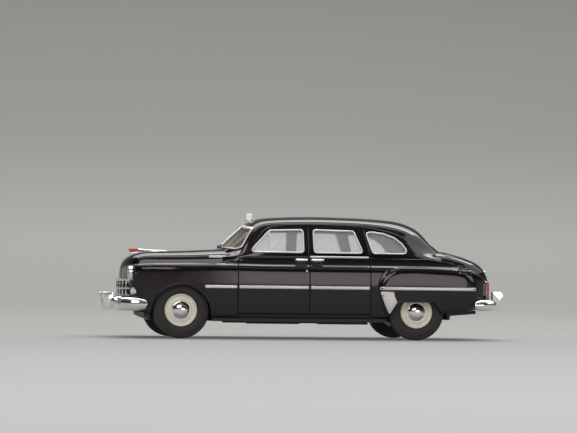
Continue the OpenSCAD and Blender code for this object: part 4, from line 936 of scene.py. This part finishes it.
CORNER_TURN, CORNER_S, CORNER_Y, CORNER_Z = 22, -14.4, 18.2, 14.5
oval = rounded_outline(rectangle(-0.9, -1.15, 0.9, 1.15), 0.7, 6)
bezels, glasses = [], []
for side in SIDES:
    spot = math.radians(-side * CORNER_TURN), (along(CORNER_S), side * CORNER_Y, CORNER_Z)
    bezel, glass = prism(oval, -1.0, 1.0, "front"), prism(grown(oval, -0.42), -1.18, -0.8, "front")
    bezels.append(made_of("bezel", spun_about_z(bezel, *spot), plating, 0.3, 4))
    glasses.append(made_of("glass", spun_about_z(glass, *spot), milky, 0.16, 3))
seat(joined("corner_lamp_bezels", bezels), "parking_lamps")
seat(joined("corner_lamp_glasses", glasses), None)

# Bumpers: a bowed blade swept round each end of the car on two irons, with two horns clamped over it, all
# moulded and plated.
BLADE_T, BOW_R, TURN_R, BLADE_Y, FRONT_X, IRON_Y, HORN_Y = 1.3, 70.0, 6.5, 22.45, -64.3, 6, 8.6


def blade(reach, height):
    """A blade from its bow over the turned corners to its tapered ends."""
    corner = math.asin((BLADE_Y - TURN_R) / (BOW_R - TURN_R))
    turn_x = BOW_R - (BOW_R - TURN_R) * math.cos(corner)
    half = [(BOW_R - BOW_R * math.cos(a), BOW_R * math.sin(a), a, 1) for a in np.linspace(0, corner, 24)]
    half += [(turn_x - TURN_R * math.cos(a), BLADE_Y - TURN_R + TURN_R * math.sin(a), a,
              1 - 0.04 * a / (math.pi / 2)) for a in np.linspace(corner, math.pi / 2, 26)[1:]]
    half += [(reach - e * (reach - turn_x), BLADE_Y, math.pi / 2, share) for e, share in (
        (0.85, 0.92), (0.7, 0.88), (0.5, 0.84), (0.3, 0.79), (0.18, 0.72), (0.08, 0.6), (0.03, 0.46),
        (0, 0.3))]
    places = [(x, -y, -a, share) for x, y, a, share in half[:0:-1]] + half
    line = [(0, 0), (0.015, 0.18), (0.06, 0.35), (0.15, 0.53), (0.28, 0.7), (0.45, 0.86), (0.62, 0.95),
            (0.75, 0.99), (0.85, 1), (0.94, 0.98), (1, 0.9)]
    section = [(o * BLADE_T, z * height / 2) for o, z in line]
    return swept(places, section + [(o, -z) for o, z in section[:0:-1]])


horn_front = [(1.25, -1.9), (0.1, 2.4), (0, 3), (0.25, 3.4), (0.7, 3.6), (3.5, 3.6), (3.5, 1.2), (2.2, -1.9)]
horn_rear = [(1, -1.6), (0, 3), (0.15, 3.7), (0.6, 4.2), (1.3, 4.4), (3.5, 4.4), (3.5, 1.2), (2.2, -1.6)]
for end, reach, h, z, inner, horn, tag in ((1, 11.2, 4.1, 10.5, along(-11.5), horn_front, "front"),
                                           (-1, 10.5, 3.5, 11.15, -along(94), horn_rear, "rear")):
    verts, faces = blade(reach, h)
    pieces = [made_of("blade", ((verts + [FRONT_X + 1.8, 0, z]) * [end, 1, 1], faces), plating, 0, 2, 60)]
    for side in SIDES:
        iron = rounded_outline(rectangle(side * IRON_Y - 0.8, z - 1.6, side * IRON_Y + 0.8, z - 0.4), 0.2, 3)
        verts, faces = prism(iron, FRONT_X + 3.0, inner, "front")
        pieces.append(made_of("iron", (verts * [end, 1, 1], faces), plating))
    seat(joined(f"{tag}_bumper_blade", pieces), f"{tag}_bumper")
    outline = rounded_outline([((FRONT_X + u) * end, z + w) for u, w in horn], 0.45, 4)
    pieces = [prism(outline, side * HORN_Y - 1, side * HORN_Y + 1, "side") for side in SIDES]
    pieces = [made_of("horn", piece, plating, 0.42, 4, 60) for piece in pieces]
    seat(joined(f"{tag}_bumper_horns", pieces), f"{tag}_guards")

# Tail lamps: an upright drop of clear red plastic in a plated bezel, both moulded and pressed on the end of
# each rear wing.
# Red plastic: a pale ruby with fine ribs across it.
RIB_PITCH, RED_REACH, BEZEL_REACH = 0.63, (along(96.1), along(98.3)), (along(95.7), along(97.4))
ruby, tree, shader = material("clear_red_plastic")
where = add(tree, "ShaderNodeTexCoord")
rib = add(tree, "ShaderNodeTexWave", {"bands_direction": "Z"}, Vector=where.outputs["Object"],
          Scale=math.pi / 10 / (RIB_PITCH * MM), Distortion=0.0)
tone = add(tree, "ShaderNodeMix", {"data_type": "RGBA"}, i0=rib.outputs["Fac"], i6=linear("#a04c4c"),
           i7=linear("#c27674"))
bump = add(tree, "ShaderNodeBump", Strength=0.25, Distance=0.1 * MM, Height=rib.outputs["Fac"])
feed(tree, shader, Base_Color=tone.outputs[2], Normal=bump.outputs["Normal"], Roughness=0.12,
     Transmission_Weight=0.25)
reds, bezels = [], []
for side in SIDES:
    here = drop + [side * TAIL_Y, TAIL_Z]
    reds.append(made_of("red", prism(grown(here, -0.15), *RED_REACH, "front"), ruby, 0.5, 5, 60))
    bezels.append(made_of("bezel", prism(grown(here, 0.06), *BEZEL_REACH, "front"), plating, 0.2, 3))
seat(joined("tail_lamp_reds", reds), "tail_lamps")
seat(joined("tail_lamp_bezels", bezels), None)

# Side strips: pale satin mouldings in four runs a side, broken at the door gaps and printed with foil. Small
# black pins hold the rear run and the stone guard to the wing.
STRIP_Z, STRIP_H = 16.2, 1.0
wing_tree = BVHTree.FromPolygons(skins[0][0].tolist(), skins[0][1].tolist())


def on_wing(x, z, side):
    """The point of the lower body that is seen at (x, z) from the side."""
    return wing_tree.ray_cast(Vector((x, side * 40, z)), Vector((0, -side, 0)))[0]


crown = (  # share of the outline, distance outwards
    (1, -0.3), (1, 0.1), (0.94, 0.22), (0.8, 0.31), (0.55, 0.35))
strips = []
for first, last, nose in ((7.1, 17.2, 0.5), (17.8, 39.7, 0.1), (40.3, 59, 0.1), (62.1, 93.2, 0.5)):
    x0, x1 = along(first), along(last)
    box = rectangle(x0, STRIP_Z - STRIP_H / 2, x1, STRIP_Z + STRIP_H / 2)
    outline = evenly(rounded_outline(box, nose, 6), 0.25)
    for side in SIDES:
        face = [on_wing(x, STRIP_Z, side)[1] for x, z in outline]
        rings = []
        for share, out in crown:
            tip = STRIP_H / 2 * (1 - share)
            rings.append([(min(max(x, x0 + tip), x1 - tip), y + side * out, STRIP_Z + (z - STRIP_Z) * share)
                          for (x, z), y in zip(outline, face)])
        n = len(outline)
        faces = ring_faces(len(rings), n)
        faces += [list(range((len(rings) - 1) * n, len(rings) * n)), list(range(n))[::-1]]
        strips.append(made_of("strip", (np.array(rings).reshape(-1, 3), faces), foil, 0, 2, 50))
seat(joined("side_strips", strips), "side_mouldings")
PIN_R, PIN_L = 0.24, 0.9
pins = []
for s, z in ((62.7, STRIP_Z), (92.5, STRIP_Z), (63.1, 13.9)):
    for side in SIDES:
        spot = on_wing(along(s), z, side) * MM
        bpy.ops.mesh.primitive_cylinder_add(vertices=20, radius=PIN_R * MM, depth=PIN_L * MM, location=spot,
                                            rotation=(math.pi / 2, 0, 0))
        bpy.ops.object.transform_apply()
        bpy.context.object.data.materials.append(black_and_painted_shade)
        pins.append(bpy.context.object)
seat(joined("trim_pins", pins), None)

# Stone guards: pressed silver plates with fine ribs on the leading edge of each rear wing, covered with the
# same foil as the strips.
GUARD_RIB, GUARD_PITCH = 0.24, 0.55
outline = np.array([(along(s), z) for s, z in (
    (62.2, 15.2), (66.5, 15.2), (66.8, 13.6), (67.6, 12), (65.1, 8), (63.5, 11.5))])
plates = []
for side in SIDES:
    inner, plate_out, rib_out = (side * (DOOR_Y + WING_OUT + d) for d in (-0.9, 0.25, 0.34))
    plate = prism(rounded_outline(outline, 0.35, 4), *sorted((inner, plate_out)), "side")
    plates.append(made_of("plate", plate, foil, 0.1, 2))
    for z in np.arange(9.4, 15.0, GUARD_PITCH):
        cuts = [a[0] + (z - a[1]) * (b[0] - a[0]) / (b[1] - a[1])
                for a, b in zip(outline, np.roll(outline, -1, 0)) if (a[1] - z) * (b[1] - z) < 0]
        if len(cuts) == 2 and abs(cuts[0] - cuts[1]) > 1:
            line = rectangle(min(cuts) + 0.3, z - GUARD_RIB / 2, max(cuts) - 0.3, z + GUARD_RIB / 2)
            reach = sorted((side * (DOOR_Y + WING_OUT), rib_out))
            plates.append(made_of("rib", prism(rounded_outline(line, 0.1, 3), *reach, "side"), foil, 0.08, 2))
seat(joined("stone_guard_plates", plates), "stone_guards")

# Wheel arch lips: the edge of each wheel opening, rolled outwards as a fine bead, cast with the body and
# painted with it.
LIP_R, LIP_OUT, LIP_SINK, LIP_FOOT_Z = 0.2, 0.12, 0.08, 8.4
lines = []
for side in SIDES:
    for opening in (front_arch, rear_arch):
        edge = grown(evenly(opening, 0.25), LIP_OUT)
        edge = np.roll(edge, -int(np.argmin(edge[:, 1])), 0)
        lines.append([(x, on_wing(x, z, side)[1] - side * LIP_SINK, z) for x, z in edge if z > LIP_FOOT_Z])
seat(bead("wheel_arch_lips", lines, LIP_R, enamel, False), None)

# Door handles: plated pulls that stand off the belt, each end on a small foot, with a lock button below. They
# are moulded and pressed into the doors.
PULL_Z, PULL_R, PULL_OUT, BUTTON_S, BUTTON_Z = BELT_Z - 0.75, 0.4, 0.95, 39, 21.3
button = [(0.0, 0.32), (0.2, 0.3), (0.34, 0.2), (0.38, 0.0), (0.38, -0.4)]
pulls = []
for first, last in ((35.6, 39.4), (40.6, 44.5)):
    for side in SIDES:
        line = []
        for t in np.linspace(0, 1, 25):
            hit = on_wing(along(first + (last - first) * t), PULL_Z, side)
            stand = PULL_OUT * math.sin(math.pi * t) ** 0.35 - 0.15
            line.append((along(first + (last - first) * t), hit[1] + side * stand, PULL_Z))
        pulls.append(bead("pull", [line], PULL_R, plating, False, 4))
for side in SIDES:
    spot = on_wing(along(BUTTON_S), BUTTON_Z, side)
    pulls.append(turned("button", button, spot, (0, side, 0), plating, 24))
seat(joined("door_pulls", pulls), "door_handles")

# Boot handle and filler flap: a plated bar pressed into the boot lid, and a raised flap on the shoulder of
# the left wing, cast with the body and painted with it.
handle = rounded_outline(rectangle(-2.6, BELT_Z - 4.2, 2.6, BELT_Z - 3.2), 0.45, 5)
handle = made_of("boot_handle_bar", prism(handle, along(99.2), along(100.8), "front"), plating, 0.3, 4)
seat(handle, "boot_handle")
flap = [(along(s), z) for s, z in ((87.2, 21.2), (91.6, 20.9), (91.4, 22.5), (87.4, 22.9))]
edge = [on_wing(x, z, LEFT) for x, z in evenly(rounded_outline(flap, 0.5, 6), 0.2)]
boss = [0.35 * np.array(p) + 0.65 * np.mean(edge, 0) + [0, -0.15, 0.1] for p in edge]
seat(bead("filler_flap", [edge, boss], 0.24, enamel), None)

# Bonnet ornament: a clear red fin in front of a plated tail, pressed along the middle of the bonnet, and a
# plain foil bar on each side of the bonnet.
HALF_T, BAR_TURN, BAR_S, BAR_Y = 0.4, 8, 11.8, 13.9
# Scarlet plastic: a warm red that turns orange where it is thin.
scarlet = grained("translucent_scarlet_plastic", "#c23a20", "#e0683a", 2, 2.0, Roughness=0.15,
                  Transmission_Weight=0.2)
spear = [(along(s), BELT_Z + h) for s, h in (
    (-14.2, 0.1), (-14.4, 1.3), (-12, 1.5), (-12, 2.45), (-8, 2.15), (-3, 2.05), (-2.6, 1.6), (-3, 0.6))]
fin = [(along(s), BELT_Z + h) for s, h in (
    (-14.4, 1.33), (-15, 2), (-14.8, 2.45), (-12.03, 2.5), (-12.03, 1.53))]
tail = made_of("bonnet_spear_tail", prism(spear, -HALF_T, HALF_T, "side"), plating, 0.25, 4, 60)
seat(tail, "bonnet_spear")
fin = made_of("bonnet_fin", prism(fin, -HALF_T, HALF_T, "side"), scarlet, 0.25, 4, 60)
seat(fin, "bonnet_crest")
bar = prism(rounded_outline(rectangle(-2.8, -0.35, 2.8, 0.35), 0.33, 5), -0.35, 0.35, "side")
bars = []
for side in SIDES:
    shape = spun_about_z(bar, math.radians(side * BAR_TURN), (along(BAR_S), side * BAR_Y, BELT_Z))
    bars.append(made_of("bar", shape, foil, 0.15, 3))
seat(joined("bonnet_side_bars", bars), "bonnet_badges")

# Roof lamp: a moulded white cap on a turned and plated base, pressed into the roof over the windscreen. Both
# are the frame's own solids.
# White plastic: the lightest thing on the model, with a faint painted glow that stands for light coming
# through the thin plastic.
white, tree, shader = material("moulded_white_plastic")
where = add(tree, "ShaderNodeTexCoord")
mottle = add(tree, "ShaderNodeTexNoise", Vector=where.outputs["Object"], Scale=1 / (1.1 * MM), Detail=2.0)
tone = add(tree, "ShaderNodeMix", {"data_type": "RGBA"}, i0=mottle.outputs["Fac"], i6=linear("#f6f6f4"),
           i7=linear("#fefefd"))
# the emission is a painted glow, the cap is no lamp
feed(tree, shader, Base_Color=tone.outputs[2], Emission_Color=tone.outputs[2], Emission_Strength=0.16,
     Roughness=0.25)


def dress(node, finish):
    """Gives one of the frame's own solids its finish."""
    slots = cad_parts[node].data.materials
    slots.clear()
    slots.append(finish)


dress("roof_lamp", white)
dress("roof_lamp_base", plating)

# Cabin: tub, two benches and dashboard moulded in mauve-brown plastic, and an ivory steering wheel, stacked
# on the base plate. All are the frame's own solids.
# Matt plastic: brown with a fine nap and no clear highlight.
trim = grained("matt_mauve_plastic", "#68554a", "#786158", 0.6, 4.0, (0.3, 0.08), Roughness=0.7)
# Ivory plastic: a pale glossy rim over the dashboard.
ivory = grained("ivory_plastic", "#ddd3bb", "#ece4d0", 1.25, 2.0, Roughness=0.3)
for node in ("interior_tub", "front_seat", "rear_seat", "dashboard"):
    dress(node, trim)
dress("steering_wheel", ivory)

# Base plate: black moulded chassis with the wheel wells, rails and screw bosses in one, screwed to the
# casting. It is the frame's own solid.
# Chassis plastic: a satin black, greyer than the paint, with an even grain.
chassis = grained("satin_black_chassis_plastic", "#141414", "#222223", 0.45, 3.0, (0.3, 0.06), Roughness=0.5)
dress("baseplate", chassis)

# Wheels: turned cream discs with a domed and plated cap each, pressed in pairs on steel rods. The rods are
# the frame's own solids.
axles = (("front", FRONT_AXLE_X, 34.0), ("rear", REAR_AXLE_X, 34.4))  # place and track
# Cream enamel: a warm pale disc with a soft sheen.
cream = grained("cream_enamel", "#efead6", "#f6f2e2", 1.7, 2.0, Roughness=0.28, Coat_Weight=0.3)
# Drawn steel: a plain grey rod between the wheels.
steel = grained("drawn_steel_rod", "#8d8d8c", "#a9a9a8", 1.1, 2.0, Metallic=1.0, Roughness=0.35)
disc = [(0, -0.6), (4.1, -0.6), (4.1, -1.5), (5.08, -1.5), (5.08, 1.55), (5.02, 1.75), (4.88, 1.85),
        (4.72, 1.8), (4.62, 1.6), (4.5, 1.3), (4.3, 1.12), (4.05, 1.12), (3.8, 1.28), (3.55, 1.46),
        (3.4, 1.6), (3.25, 1.68), (3.1, 1.62), (3.0, 1.5), (2.8, 1.45), (0, 1.45)]
cap = [(0, 1.3), (2.85, 1.3), (2.85, 1.52), (2.78, 1.62), (2.66, 1.66), (2.5, 1.72), (2.3, 1.9), (1.95, 2.2),
       (1.45, 2.47), (0.8, 2.63), (0, 2.68)]
for end, x, track in axles:
    dress(f"{end}_axle", steel)
    for side, tag in ((LEFT, "left"), (RIGHT, "right")):
        spot = (x, side * track / 2, AXLE_Z), (0, side, 0)
        wheel = turned(f"{end}_disc_{tag}", disc, *spot, cream, 72)
        dome = turned(f"{end}_dome_{tag}", cap, *spot, plating, 72)
        seat(wheel, f"{end}_wheel_{tag}", f"{end}_wheelset")
        seat(dome, f"{end}_cap_{tag}", f"{end}_wheelset")

# Tyres: black rubber rings with a ribbed tread and fine radial ribs on the shoulders, moulded and stretched
# on the discs.
# Rubber: a soft black that takes almost no highlight.
rubber = grained("matt_black_rubber", "#232221", "#32302f", 0.7, 4.0, (0.25, 0.05), Roughness=0.62)
# Painted highlight: the rib tops painted a lighter grey, which draws the fine teeth round each tyre.
rib_top_highlight = grained("rubber_painted_rib_top_highlight", "#5c5a57", "#6c6a67", 0.7, 4.0, Roughness=0.6)
RIB_DEEP, RIB_STEPS, TURNS = 0.2, 4, 360
profile = [  # radius, distance from the middle
    (5.15, 0.0), (5.15, 1.45), (5.25, 1.75), (5.5, 1.92), (6.1, 2.02), (6.7, 2.07), (7.3, 2.06), (7.7, 2.0),
    (7.95, 1.96), (8.15, 1.92), (8.35, 1.83), (8.55, 1.66), (8.7, 1.45), (8.78, 1.2), (8.8, 0.95),
    (8.8, 0.82), (8.66, 0.76), (8.66, 0.64), (8.8, 0.58), (8.8, 0.2), (8.66, 0.14), (8.66, 0.0)]
profile = np.array(profile + [(r, -w) for r, w in profile[-2:0:-1]])
n = len(profile)
angles = np.linspace(0, 2 * math.pi, TURNS, endpoint=False)[:, None]
shoulder = np.clip((profile[:, 0] - 7.3) / 0.5, 0, 1) * np.clip((8.76 - profile[:, 0]) / 0.1, 0, 1)
rib = (np.arange(TURNS) % RIB_STEPS < RIB_STEPS / 2)[:, None] * RIB_DEEP * shoulder
w = profile[:, 1] - np.sign(profile[:, 1]) * rib
r = profile[:, 0] - rib * 0.3
i, j = np.meshgrid(np.arange(TURNS), np.arange(n), indexing="ij")
after = (i + 1) % TURNS * n
quads = np.stack([i * n + j, i * n + (j + 1) % n, after + (j + 1) % n, after + j], -1).reshape(-1, 4).tolist()
tops = (i % RIB_STEPS == RIB_STEPS / 2) & (shoulder[j] > 0.5) & (shoulder[(j + 1) % n] > 0.5)
for end, x, track in axles:
    for side, tag in ((LEFT, "left"), (RIGHT, "right")):
        places = [x + r * np.sin(angles), side * track / 2 + w, AXLE_Z + r * np.cos(angles)]
        ring = (np.stack(places, -1).reshape(-1, 3), quads)
        tyre = made_of(f"{end}_tyre_ring_{tag}", ring, rubber, 0, 2, 35)
        # the rib tops take the painted highlight
        tyre.data.materials.append(rib_top_highlight)
        tyre.data.polygons.foreach_set("material_index", tops.ravel().astype(np.int32))
        seat(tyre, f"{end}_tyre_{tag}", f"{end}_wheelset")
